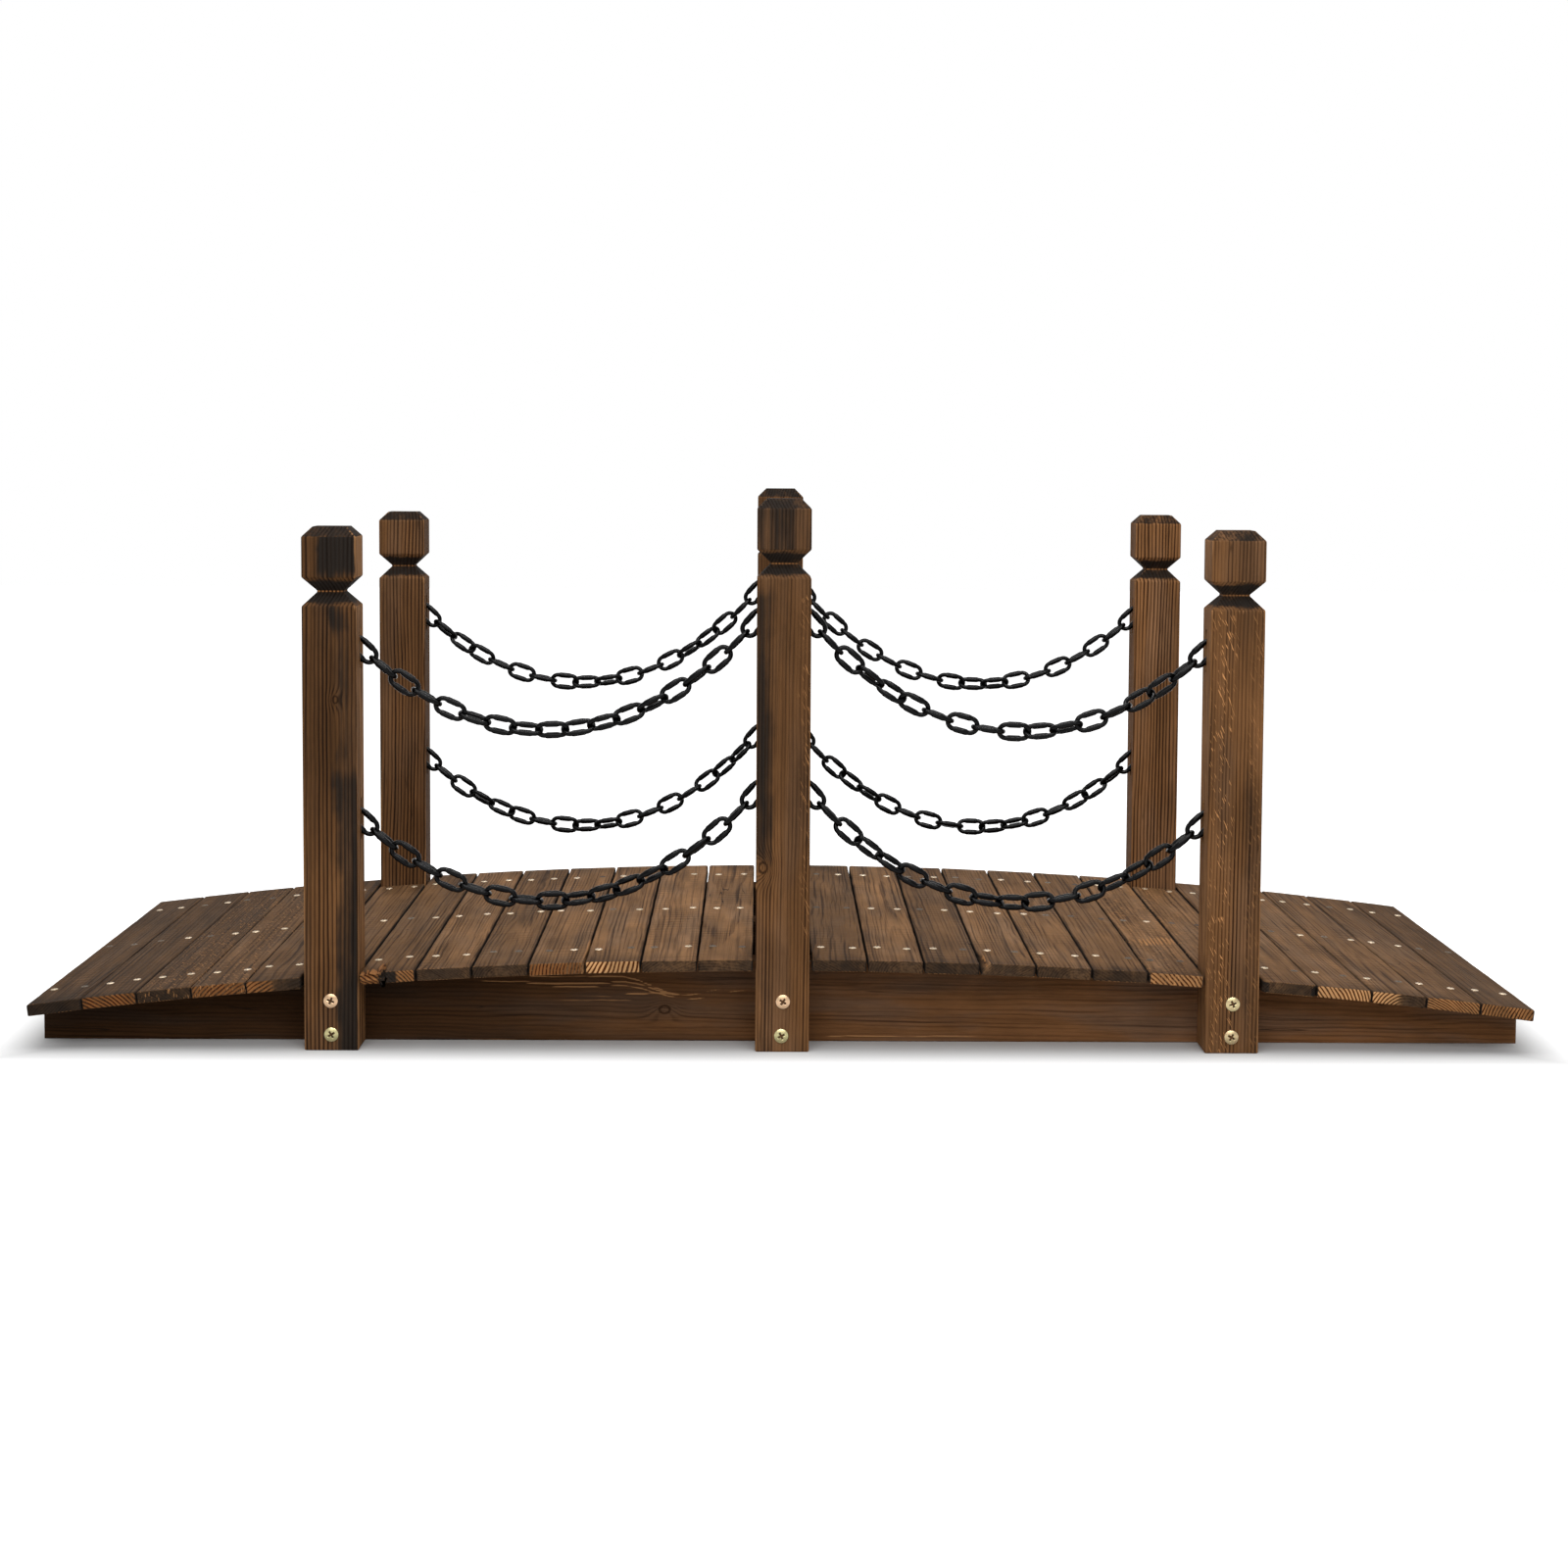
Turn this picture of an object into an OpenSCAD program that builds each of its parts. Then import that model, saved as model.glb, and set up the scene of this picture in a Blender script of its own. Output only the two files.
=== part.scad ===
// Low arched garden footbridge: a plank deck on three joists, six posts and eight hanging chains.
// Millimetres, +Z up, +X along the walkway, origin on the ground under the middle of the deck.

/* [Deck] */
// Width of a deck plank, measured along the walkway
plank_w = 55; // [40:0.5:80]
// Length of a full plank, from edge to edge of the deck
plank_l = 673; // [660:1:900]
// Thickness of every plank
plank_t = 12; // [8:0.5:20]
// Radius along the upper long edges of a plank
plank_edge_r = 2; // [0.5:0.25:3]
// Number of full planks between the middle posts and a pair of side posts
bay_planks = 7; // [5:1:10]
// Number of full planks beyond each pair of side posts
end_planks = 5; // [2:1:8]
// Gap between neighbouring planks of a bay
bay_gap = 1.8; // [0.5:0.1:5]
// Gap between neighbouring planks at the two ends
end_gap = 0.5; // [0.3:0.1:5]
// Gap on each side of a short plank that runs between two posts
short_gap = 2.5; // [0.5:0.1:6]

/* [Joists] */
// Height of a joist at the crown of the arch
joist_h = 83; // [75:1:140]
// Thickness of a joist
joist_t = 40; // [25:1:70]
// Radius of the arched upper edge of the joists
arch_r = 5975; // [5000:25:12000]
// Distance from a joist's end to the end of the deck
joist_setback = 2.5; // [1:0.5:40]

/* [Posts] */
// Side of the square posts
post_w = 54.5; // [46:0.5:58]
// Distance from the outer face of a post out to the ends of the planks
post_setback = 5; // [2:0.5:20]
// Height of the four side posts
side_post_h = 529; // [460:1:800]
// Height of the two middle posts
middle_post_h = 559; // [470:1:850]
// Gap between a post and the full plank on either side of it
post_clear = 2.75; // [1:0.25:8]
// Chamfer round the top of a post
cap_chamfer = 10; // [2:0.5:14]
// Height of a post's head, from its top to the groove under it
head_h = 50.5; // [30:0.5:70]
// Depth of the V groove under the head
groove_depth = 13.75; // [4:0.25:16]
// Height of the flat neck at the bottom of the groove
neck_h = 1.5; // [0.5:0.25:8]

/* [Chains] */
// Diameter of the wire where a link bows round its neighbour
wire_d = 3.6; // [3:0.1:4]
// Diameter of a link's straight sides, which are stouter than its bows
side_d = 5; // [4:0.1:6]
// Length over which a side swells from the wire to its full diameter
side_taper = 2.5; // [1:0.25:4]
// Outside width of a link
link_w = 20; // [18.5:0.5:24]
// Distance from one link to the next
link_pitch = 26.6; // [24:0.2:32]
// Length of a chain beyond the straight line between its ends
chain_spare = 62; // [40:1:100]
// Free play between two links, and between a link and its staple
link_play = 0.4; // [0.3:0.05:0.8]
// Distance from the top of a post down to the end of its upper chain
rail_drop = 116; // [100:1:150]
// Distance between the upper and the lower chain
rail_spacing = 175; // [120:1:200]
// Distance from the posts' inner faces out to the line of the chains
chain_offset = 21; // [15:0.5:30]

/* [Anchors] */
// Depth inside the post at which the end link hooks over its staple
anchor_inset = 7; // [5:0.5:9]
// Height of the slot that takes the end link
slot_h = 42; // [40:1:54]
// Height of the hook point above the middle of its slot
slot_rise = 6; // [4:0.5:8]
// Clearance between the slot and what sits in it
slot_clear = 0.3; // [0.2:0.05:1]
// Diameter of the staple's wire
staple_d = 1.4; // [1:0.1:2]
// Length of a staple's legs
staple_leg = 22; // [18:0.5:24]
// Clearance round a staple's leg in its hole
staple_fit = 0.1; // [0.05:0.05:0.3]

/* [Hidden] */
// Smoothness of small round shapes, and of the arch, whose circle is metres across
$fn = 48;
arch_fn = 1440;
// Air left under a flat plank where it meets the round arch
plank_seat = 0.1;
// Overlap that carries a cutting shape past the face that it opens
cut_past = 1;
// Halvings of the search that settles the hang of the chains
search_steps = 40;

wood_plank = [0.36, 0.28, 0.22];
wood_joist = [0.24, 0.15, 0.10];
wood_post = [0.38, 0.25, 0.16];
black_steel = [0.08, 0.08, 0.08];

// Lengths along the arch
post_slot = post_w + 2 * post_clear;
short_plank_w = post_slot - 2 * short_gap;
bay_len = bay_planks * plank_w + (bay_planks - 1) * bay_gap;
end_len = end_planks * plank_w + (end_planks - 1) * end_gap;
side_post_s = post_slot + bay_len;
deck_half_s = side_post_s + post_slot / 2 + end_len;

// The arch: a circle whose centre lies far below the crown
arch_z = joist_h - arch_r;
function arch_angle(s) = s / arch_r * 180 / PI;
function arch_x(s) = arch_r * sin(arch_angle(s));

deck_half = arch_x(deck_half_s);
// Width over the two outer joists, which is also the width between the posts
joist_span = plank_l - 2 * (post_w + post_setback);
joist_len = 2 * (deck_half - joist_setback);
joist_y = (joist_span - joist_t) / 2;

// Places of the planks along the arch, from the left end to the right
bay_s = [for (i = [0 : bay_planks - 1]) post_slot / 2 + plank_w / 2 + i * (plank_w + bay_gap)];
end_s = [for (i = [0 : end_planks - 1])
    side_post_s + post_slot / 2 + plank_w / 2 + i * (plank_w + end_gap)];
right_s = concat(bay_s, [side_post_s], end_s);
right_n = len(right_s);
plank_s = concat([for (i = [1 : right_n]) -right_s[right_n - i]], [0], right_s);
plank_n = len(plank_s);
function between_posts(s) = abs(s) == side_post_s || s == 0;

// Posts: their places and the height at which an upper chain ends on each
side_post_x = arch_x(side_post_s);
post_y = (joist_span + post_w) / 2;
side_hook_z = side_post_h - rail_drop;
middle_hook_z = middle_post_h - rail_drop;

// A hanging chain of equal links leans by atan(k * (i - c)) at link i, because each link adds
// its weight to the downward pull while the sideways pull stays the same along the chain.
chain_y = joist_span / 2 + chain_offset;
hook_span = side_post_x - post_w + 2 * anchor_inset;
hook_rise = middle_hook_z - side_hook_z;
link_n = round((norm([hook_span, hook_rise]) + chain_spare) / link_pitch);
link_last = link_n - 1;
function lean(i, k, c) = atan(k * (i - c));
function total(v, i = 0) = i == len(v) ? 0 : v[i] + total(v, i + 1);
function chain_run(k, c) = link_pitch * total([for (i = [0 : link_last]) cos(lean(i, k, c))]);
function chain_climb(k, c) = link_pitch * total([for (i = [0 : link_last]) sin(lean(i, k, c))]);

// Lowest link c at which the chain climbs from its side hook to its middle hook
function lowest_link(k, low = -2 * link_n, high = 3 * link_n, step = 0) =
    let (mid = (low + high) / 2)
    step == search_steps ? mid
    : chain_climb(k, mid) > hook_rise ? lowest_link(k, mid, high, step + 1)
    : lowest_link(k, low, mid, step + 1);

// Steepness k at which the chain then spans from hook to hook
function hang_steepness(low = 0.001, high = 2, step = 0) =
    let (mid = (low + high) / 2)
    step == search_steps ? mid
    : chain_run(mid, lowest_link(mid)) > hook_span ? hang_steepness(mid, high, step + 1)
    : hang_steepness(low, mid, step + 1);

hang_k = hang_steepness();
hang_c = lowest_link(hang_k);
link_lean = [for (i = [0 : link_last]) lean(i, hang_k, hang_c)];
function along(a) = [cos(a), 0, sin(a)];
function hook_point(i) = i == 0 ? [0, 0, 0] : hook_point(i - 1) + link_pitch * along(link_lean[i - 1]);
chain_points = [for (i = [0 : link_n]) hook_point(i)];

// Links: centre lines of the bows and of the straight sides
bow_r = (link_w - side_d) / 2;
link_straight = link_pitch + link_play - 2 * (bow_r - wire_d / 2);
hook_shift = (wire_d + link_play) / 2;
// Both end links stand upright in their slots, so an even chain takes a quarter turn on its way
chain_turn = link_last % 2 == 0 ? 0 : 90;

// A turn is the share of the chain at which its middle lies, and the number of links that it takes
function turn_links(turn) = min(turn[1], link_last);
function turn_start(turn) =
    min(link_last - turn_links(turn), max(0, turn[0] * link_last - turn_links(turn) / 2));
function turned(i, turn) = min(1, max(0, (i - turn_start(turn)) / turn_links(turn)));
// Turns go to and fro, so a chain that has an odd number of them ends a quarter turn round
function link_twist(i, turns) =
    chain_turn * total([for (k = [0 : len(turns) - 1]) (k % 2 == 0 ? 1 : -1) * turned(i, turns[k])]);
// Turn of link i about its own length: each is square to the last, but for the twist of the chain
function link_roll(i, turns) = 90 * (i + 1) + link_twist(i, turns);

// Staples and the slots round them
staple_r = wire_d / 2 + link_play + staple_d / 2;
slot_w = 2 * (staple_r + staple_d / 2 + slot_clear);
function slot_depth(a) = anchor_inset - (bow_r - hook_shift) * cos(a) + link_w / 2 + slot_clear;
side_lean = link_lean[0];
middle_lean = -link_lean[link_last];

function two_digits(i) = str(i < 10 ? "0" : "", i);
function plank_name(i) = str("deck_plank_", two_digits(i + 1));
PLANKS = [for (i = [0 : plank_n - 1]) plank_name(i)];

// Deck: cross-section of a plank with its upper edges rounded, its underside on z = 0
module plank_section(w) {
    inner_w = w - 2 * plank_edge_r;
    translate([-w / 2, 0]) square([w, plank_t - plank_edge_r]);
    translate([-inner_w / 2, 0]) square([inner_w, plank_t]);
    for (side = [-1, 1])
        translate([side * inner_w / 2, plank_t - plank_edge_r]) circle(r = plank_edge_r);
}

module plank(w, l) {
    rotate([90, 0, 0])
        linear_extrude(height = l, center = true) plank_section(w);
}

// Each plank lies tangent to the arch; at the posts it is a short one between a pair of them
module deck_plank(i) {
    s = plank_s[i];
    short = between_posts(s);
    color(wood_plank)
        translate([0, 0, arch_z])
            rotate([0, arch_angle(s), 0])
                translate([0, 0, arch_r + plank_seat])
                    plank(short ? short_plank_w : plank_w, short ? joist_span - 2 * short_gap : plank_l);
}

// Joists: flat underneath, arched on top
module joist(y) {
    color(wood_joist)
        translate([0, y, 0])
            intersection() {
                translate([-joist_len / 2, -joist_t / 2, 0]) cube([joist_len, joist_t, joist_h + cut_past]);
                translate([0, 0, arch_z])
                    rotate([90, 0, 0])
                        cylinder(r = arch_r, h = joist_t + 2 * cut_past, center = true, $fn = arch_fn);
            }
}

// Posts: outline with a chamfered top and a V groove under the head
module post_outline(h) {
    half = post_w / 2;
    neck = half - groove_depth;
    neck_top = h - head_h - groove_depth;
    right = [
        [half, 0],
        [half, neck_top - neck_h - groove_depth],
        [neck, neck_top - neck_h],
        [neck, neck_top],
        [half, h - head_h],
        [half, h - cap_chamfer],
        [half - cap_chamfer, h]];
    last = len(right) - 1;
    polygon(concat(right, [for (i = [last : -1 : 0]) [-right[i].x, right[i].y]]));
}

module post_prism(h) {
    rotate([90, 0, 0])
        linear_extrude(height = post_w, center = true) post_outline(h);
}

// Upright slot with round ends, cut into a post's right face
module link_slot(a) {
    reach = slot_depth(a);
    straight = slot_h - slot_w;
    translate([post_w / 2 - reach, 0, -slot_rise]) {
        translate([0, -slot_w / 2, -straight / 2]) cube([reach + cut_past, slot_w, straight]);
        for (end = [-1, 1])
            translate([0, 0, end * straight / 2]) rotate([0, 90, 0])
                cylinder(d = slot_w, h = reach + cut_past);
    }
}

// The two holes that a staple's legs are driven into
module staple_holes(a) {
    translate([post_w / 2 - anchor_inset, 0, 0])
        rotate([0, -a, 0])
            for (side = [-1, 1])
                translate([-hook_shift, side * staple_r, 0])
                    rotate([0, -90, 0]) cylinder(d = staple_d + 2 * staple_fit, h = staple_leg + staple_fit);
}

// One anchor in the right face: a slot with its staple holes, at hook height z and link lean a
module anchor_cut(z, a) {
    translate([0, 0, z]) {
        link_slot(a);
        staple_holes(a);
    }
}

module chain_anchors(hook_z, a) {
    for (z = [hook_z, hook_z - rail_spacing]) anchor_cut(z, a);
}

// A post for the front row, with chains on the faces named in sides: 1 is right, -1 is left
module front_post(h, hook_z, a, sides) {
    anchor_y = post_w / 2 - chain_offset;
    difference() {
        intersection() {
            post_prism(h);
            rotate([0, 0, 90]) post_prism(h);
        }
        for (side = sides)
            translate([0, anchor_y, 0]) mirror([side < 0 ? 1 : 0, 0, 0]) chain_anchors(hook_z, a);
    }
}

// Rows: the front one stands at -Y and the back one mirrors it
module in_row(row) {
    if (row == "front") children();
    else mirror([0, 1, 0]) children();
}

module left_post(row) {
    color(wood_post) in_row(row)
        translate([-side_post_x, -post_y, 0]) front_post(side_post_h, side_hook_z, side_lean, [1]);
}

module middle_post(row) {
    color(wood_post) in_row(row)
        translate([0, -post_y, 0]) front_post(middle_post_h, middle_hook_z, middle_lean, [-1, 1]);
}

module right_post(row) {
    color(wood_post) in_row(row)
        translate([side_post_x, -post_y, 0]) front_post(side_post_h, side_hook_z, side_lean, [-1]);
}

// Chains: half a ring of wire, bowed towards +X about the origin
module wire_bow(r, d) {
    rotate([0, 0, -90]) rotate_extrude(angle = 180) translate([r, 0]) circle(d = d);
}

// Straight side of a link, a turned bar along X from the origin, thinner at both ends
module link_side() {
    rotate([0, 90, 0]) rotate_extrude()
        polygon([
            [0, 0], [wire_d / 2, 0], [side_d / 2, side_taper],
            [side_d / 2, link_straight - side_taper], [wire_d / 2, link_straight], [0, link_straight]]);
}

// A link lying flat along X, centred on the origin
module link() {
    for (end = [-1, 1])
        rotate([0, 0, end < 0 ? 180 : 0]) {
            translate([link_straight / 2, 0, 0]) wire_bow(bow_r, wire_d);
            translate([-link_straight / 2, bow_r, 0]) link_side();
        }
}

// A staple round the wire of an end link, its legs driven away along -X
module staple() {
    translate([-hook_shift, 0, 0]) {
        wire_bow(staple_r, staple_d);
        for (side = [-1, 1])
            translate([0, side * staple_r, 0]) rotate([0, -90, 0]) cylinder(d = staple_d, h = staple_leg);
    }
}

// A chain from a side post at the left to the middle post, hooked on at its first point
module hung_chain(turns) {
    for (i = [0 : link_last])
        translate((chain_points[i] + chain_points[i + 1]) / 2)
            rotate([0, -link_lean[i], 0]) rotate([link_roll(i, turns), 0, 0]) link();
    rotate([0, -side_lean, 0]) staple();
    translate(chain_points[link_n]) rotate([0, -link_lean[link_last], 0]) rotate([0, 0, 180]) staple();
}

// level 0 is the upper chain and 1 the lower; the right bay mirrors the left
module bay_chain(row, bay, level, turns) {
    color(black_steel) in_row(row)
        mirror([bay == "left" ? 0 : 1, 0, 0])
            translate([
                -side_post_x + post_w / 2 - anchor_inset,
                -chain_y,
                side_hook_z - level * rail_spacing])
                hung_chain(turns);
}

module front_joist() { joist(-joist_y); }
module middle_joist() { joist(0); }
module back_joist() { joist(joist_y); }
module front_left_post() { left_post("front"); }
module front_middle_post() { middle_post("front"); }
module front_right_post() { right_post("front"); }
module back_left_post() { left_post("back"); }
module back_middle_post() { middle_post("back"); }
module back_right_post() { right_post("back"); }
// The lists give the turns of each chain, counted from its side post
module front_left_upper_chain() { bay_chain("front", "left", 0, [[0.56, 13]]); }
module front_left_lower_chain() { bay_chain("front", "left", 1, [[0.65, 9]]); }
module front_right_upper_chain() { bay_chain("front", "right", 0, [[0.16, 4], [0.40, 4], [0.77, 4]]); }
module front_right_lower_chain() { bay_chain("front", "right", 1, [[0.22, 4], [0.46, 4], [0.82, 4]]); }
module back_left_upper_chain() { bay_chain("back", "left", 0, [[0.12, 4], [0.49, 4], [0.81, 4]]); }
module back_left_lower_chain() { bay_chain("back", "left", 1, [[0.22, 4], [0.50, 4], [0.88, 4]]); }
module back_right_upper_chain() { bay_chain("back", "right", 0, [[0.44, 5]]); }
module back_right_lower_chain() { bay_chain("back", "right", 1, [[0.12, 4], [0.43, 4.5], [0.81, 4]]); }

for (i = [0 : plank_n - 1])
    deck_plank(i);
front_joist();
middle_joist();
back_joist();
front_left_post();
front_middle_post();
front_right_post();
back_left_post();
back_middle_post();
back_right_post();
front_left_upper_chain();
front_left_lower_chain();
front_right_upper_chain();
front_right_lower_chain();
back_left_upper_chain();
back_left_lower_chain();
back_right_upper_chain();
back_right_lower_chain();
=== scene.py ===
"""Dresses a low garden footbridge: charred fir planks, joists and posts, black chain rails and plated screws.

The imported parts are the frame. Boards and posts are replaced by worn surfaces of the same size, the chains by coated
copies of their packed links, and the screw heads are added. Everything is in metres, +Z up, +X along the walkway.
"""

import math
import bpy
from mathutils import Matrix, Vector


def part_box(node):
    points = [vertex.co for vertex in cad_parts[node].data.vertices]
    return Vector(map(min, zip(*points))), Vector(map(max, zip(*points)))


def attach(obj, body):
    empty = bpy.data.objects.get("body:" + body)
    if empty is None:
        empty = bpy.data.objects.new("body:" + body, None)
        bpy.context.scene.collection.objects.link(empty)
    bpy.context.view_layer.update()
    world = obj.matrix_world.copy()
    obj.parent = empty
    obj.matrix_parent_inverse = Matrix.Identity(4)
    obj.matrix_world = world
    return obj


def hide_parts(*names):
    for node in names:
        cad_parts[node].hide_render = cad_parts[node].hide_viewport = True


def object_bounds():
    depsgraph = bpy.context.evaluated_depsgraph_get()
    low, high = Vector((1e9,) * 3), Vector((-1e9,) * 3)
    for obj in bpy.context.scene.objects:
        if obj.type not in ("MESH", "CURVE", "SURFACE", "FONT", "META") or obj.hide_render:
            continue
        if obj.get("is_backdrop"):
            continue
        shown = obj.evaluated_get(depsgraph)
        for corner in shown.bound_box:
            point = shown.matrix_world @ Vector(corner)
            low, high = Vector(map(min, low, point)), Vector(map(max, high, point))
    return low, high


bl_info = {
    "name": "Charred Garden Footbridge",
    "version": (1, 0, 0),
    "blender": (4, 5, 0),
    "location": "View3D > Sidebar > Footbridge",
    "description": "Makes the planks, joists, posts, chains and screws of a low arched footbridge, and its studio",
    "category": "Add Mesh",
}

import bpy
import numpy as np
from bpy.props import FloatProperty, FloatVectorProperty, IntProperty, PointerProperty
from mathutils import Matrix

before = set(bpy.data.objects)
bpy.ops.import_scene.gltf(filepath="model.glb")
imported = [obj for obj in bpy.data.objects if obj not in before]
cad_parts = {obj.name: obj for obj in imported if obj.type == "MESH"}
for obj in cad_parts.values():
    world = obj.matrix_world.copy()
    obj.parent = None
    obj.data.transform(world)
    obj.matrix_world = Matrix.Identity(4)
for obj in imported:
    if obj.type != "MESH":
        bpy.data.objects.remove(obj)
CAD_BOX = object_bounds()
MM = 0.001

PLANKS = sorted(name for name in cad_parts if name.startswith("deck_plank"))
JOISTS = ("front_joist", "middle_joist", "back_joist")
POSTS = sorted(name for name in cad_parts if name.endswith("_post"))
CHAINS = sorted(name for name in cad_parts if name.endswith("_chain"))


def srgb(red, green, blue):
    """A colour read off a screen, 0 to 255, as the linear values that shaders take."""
    part = np.array([red, green, blue]) / 255
    linear = np.where(part <= 0.04045, part / 12.92, ((part + 0.055) / 1.055) ** 2.4)
    return tuple(float(value) for value in linear)


def colour(name, description, default):
    return FloatVectorProperty(name=name, description=description, subtype="COLOR", size=3, min=0, max=1,
                               default=srgb(*default))


def length(name, description, default):
    return FloatProperty(name=name, description=description, unit="LENGTH", precision=4, min=0, default=default)


def amount(name, description, default, subtype="NONE"):
    return FloatProperty(name=name, description=description, subtype=subtype, default=default)


class DeckSettings(bpy.types.PropertyGroup):
    arch_radius: length("Arch radius", "Radius of the arch that the planks lie on", 5.975)
    top_round: length("Top rounding", "Radius along the upper long edges of a plank", 0.002)
    low_round: length("Lower rounding", "Radius along the lower long edges of a plank", 0.0013)
    end_round: length("End rounding", "Radius round the ends of a plank", 0.0012)
    end_jog: length("End jog", "Most that a plank's end stands back from its neighbours", 0.0022)
    early_wood: colour("Early wood", "Pale part of a growth ring on the weathered planks", (128, 94, 63))
    late_wood: colour("Late wood", "Dark part of a growth ring on the weathered planks", (68, 47, 30))
    seed: IntProperty(name="Seed", description="Starts the run of random board differences", default=11, min=0)


class JoistSettings(bpy.types.PropertyGroup):
    edge_round: length("Edge rounding", "Radius along the joists' edges", 0.0015)
    end_round: length("End rounding", "Radius round the ends of a joist", 0.0012)
    early_wood: colour("Early wood", "Pale part of a growth ring on the joists", (114, 77, 47))
    late_wood: colour("Late wood", "Dark part of a growth ring on the joists", (60, 36, 18))


class PostSettings(bpy.types.PropertyGroup):
    edge_round: length("Edge rounding", "Radius along the upright edges of a post", 0.0016)
    cap_chamfer: length("Cap chamfer", "Chamfer round the top of a post", 0.010)
    head_height: length("Head height", "Height of a post's head, from its top to the groove under it", 0.0505)
    groove_depth: length("Groove depth", "Depth of the V groove under the head", 0.01375)
    neck_height: length("Neck height", "Height of the flat neck at the bottom of the groove", 0.0015)
    rail_drop: length("Rail drop", "Distance from a post's top down to the end of its upper chain", 0.116)
    rail_spacing: length("Rail spacing", "Distance between the upper and the lower chain", 0.175)
    slot_height: length("Slot height", "Height of the slot that takes an end link", 0.042)
    slot_width: length("Slot width", "Width of the slot that takes an end link", 0.0078)
    slot_depth: length("Slot depth", "Depth of the slot that takes an end link", 0.0135)
    slot_drop: length("Slot drop", "Distance from a chain's end down to the middle of its slot", 0.006)
    chain_offset: length("Chain offset", "Distance from a post's inner face out to the chain", 0.021)
    early_wood: colour("Early wood", "Pale part of a growth ring on the posts", (123, 85, 52))
    late_wood: colour("Late wood", "Dark part of a growth ring on the posts", (50, 30, 15))


class FinishSettings(bpy.types.PropertyGroup):
    # The char colour also serves as painted shade in the plank gaps and post grooves
    char: colour("Char", "Scorched wood", (38, 33, 29))
    raw_early: colour("Raw early wood", "Pale part of a ring where the cut or broken wood is bare", (212, 164, 114))
    raw_late: colour("Raw late wood", "Dark part of a ring where the cut or broken wood is bare", (84, 44, 16))
    # The worn colour also serves as painted light on the posts' side faces
    worn: colour("Worn edge", "Wood rubbed pale along an edge", (168, 122, 80))
    coating: length("Coating", "Thickness of the black coating on the chains", 0.0007)
    link_faces: amount("Link faces", "Share of the packed links' faces that the coated copy keeps", 0.25, "FACTOR")
    black_steel: colour("Black steel", "Coated steel of the chains", (3, 3, 4))
    rubbed_steel: colour("Rubbed steel", "Coating rubbed thin where links meet", (18, 17, 16))


class ScrewSettings(bpy.types.PropertyGroup):
    deck_head: length("Deck head", "Diameter of a deck screw's head", 0.0078)
    deck_pair: length("Deck pair", "Distance between the two screws of a plank on one joist", 0.030)
    post_head: length("Post head", "Diameter of a post screw's head", 0.0145)
    post_low: length("Lower post screw", "Height of the lower screw of a post", 0.0165)
    post_high: length("Upper post screw", "Height of the upper screw of a post", 0.0505)
    zinc: colour("Zinc", "Plated steel of the post screws", (186, 154, 124))
    deck_zinc: colour("Deck zinc", "Bright plated steel of the deck screws", (236, 214, 186))
    tarnish: colour("Tarnish", "Plating that has turned greenish yellow", (172, 165, 122))
    # This colour stands for dirt, and also for painted shade in the screw recesses and on deck screws sunk in shadow
    soot_and_shade: colour("Soot", "Dirt in the recesses of the screws", (48, 36, 26))


class StageSettings(bpy.types.PropertyGroup):
    eye: FloatVectorProperty(name="Camera place", description="Where the camera stands", subtype="TRANSLATION",
                             unit="LENGTH", size=3, default=(-0.02393, -3.30126, 0.61775))
    pitch: amount("Pitch", "How far the camera looks down", 0.0771, "ANGLE")
    roll: amount("Roll", "Turn of the camera about its view", 0.0051, "ANGLE")
    yaw: amount("Yaw", "Turn of the camera to the right", 0.0081, "ANGLE")
    lens: amount("Lens", "Focal length on a 36 mm sensor, in millimetres", 68.245)
    rise: amount("Rise", "Upward shift of the frame, as a share of its width", -0.0730)
    sky: amount("Sky", "Strength of the even light from all sides", 0.30)
    overhead: amount("Overhead", "Power of the softbox over the bridge, in watts", 36)
    front: amount("Front", "Power of the softbox behind the camera, in watts", 65)
    strip: amount("Strip", "Power of the strip lamp that draws the glints, in watts", 36)


def settings(name):
    return getattr(bpy.context.scene, "footbridge_" + name)


def box_of(node):
    """Lowest corner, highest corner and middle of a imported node's box."""
    low, high = (np.array(corner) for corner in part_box(node))
    return low, high, (low + high) / 2


# Shapes

# Sizes of the rings that close an end, as shares of its full outline
END_CAPS = (0.25, 0.55, 0.85)


def rounded_section(width, height, top_round, low_round, runs, arc_steps=3):
    """Outline of a board's cross-section and its outward normals: four quarter circles joined by straight runs.

    It goes anticlockwise from the upper right; runs counts the steps on the top, left, underside and right.
    """
    right, up = width / 2, height / 2
    corners = ((right - top_round, up - top_round, top_round), (top_round - right, up - top_round, top_round),
               (low_round - right, low_round - up, low_round), (right - low_round, low_round - up, low_round))
    arcs, normals = [], []
    for quarter, (across, high, radius) in enumerate(corners):
        turn = np.linspace(quarter, quarter + 1, arc_steps + 1) * math.pi / 2
        normals.append(np.stack([np.cos(turn), np.sin(turn)], axis=1))
        arcs.append(np.array([across, high]) + radius * normals[-1])
    points, outward = [], []
    for quarter, steps in enumerate(runs):
        begin, end = arcs[quarter][-1], arcs[(quarter + 1) % 4][0]
        part = np.linspace(0, 1, steps + 1)[1:-1, None]
        points += [arcs[quarter], begin + part * (end - begin)]
        outward += [normals[quarter], np.repeat(normals[quarter][-1:], steps - 1, axis=0)]
    return np.concatenate(points), np.concatenate(outward)


def end_rings(radius, caps, arc_steps=3):
    """Setback, inset and scale of the rings that close an end: shrinking caps, then a quarter circle of rounding."""
    turn = np.linspace(math.pi / 2, 0, arc_steps + 1)
    setback = np.concatenate([np.zeros(len(caps)), radius * (1 - np.sin(turn))])
    inset = np.concatenate([np.full(len(caps), radius), radius * (1 - np.cos(turn))])
    scale = np.concatenate([caps, np.ones(arc_steps + 1)])
    return setback, inset, scale


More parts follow.
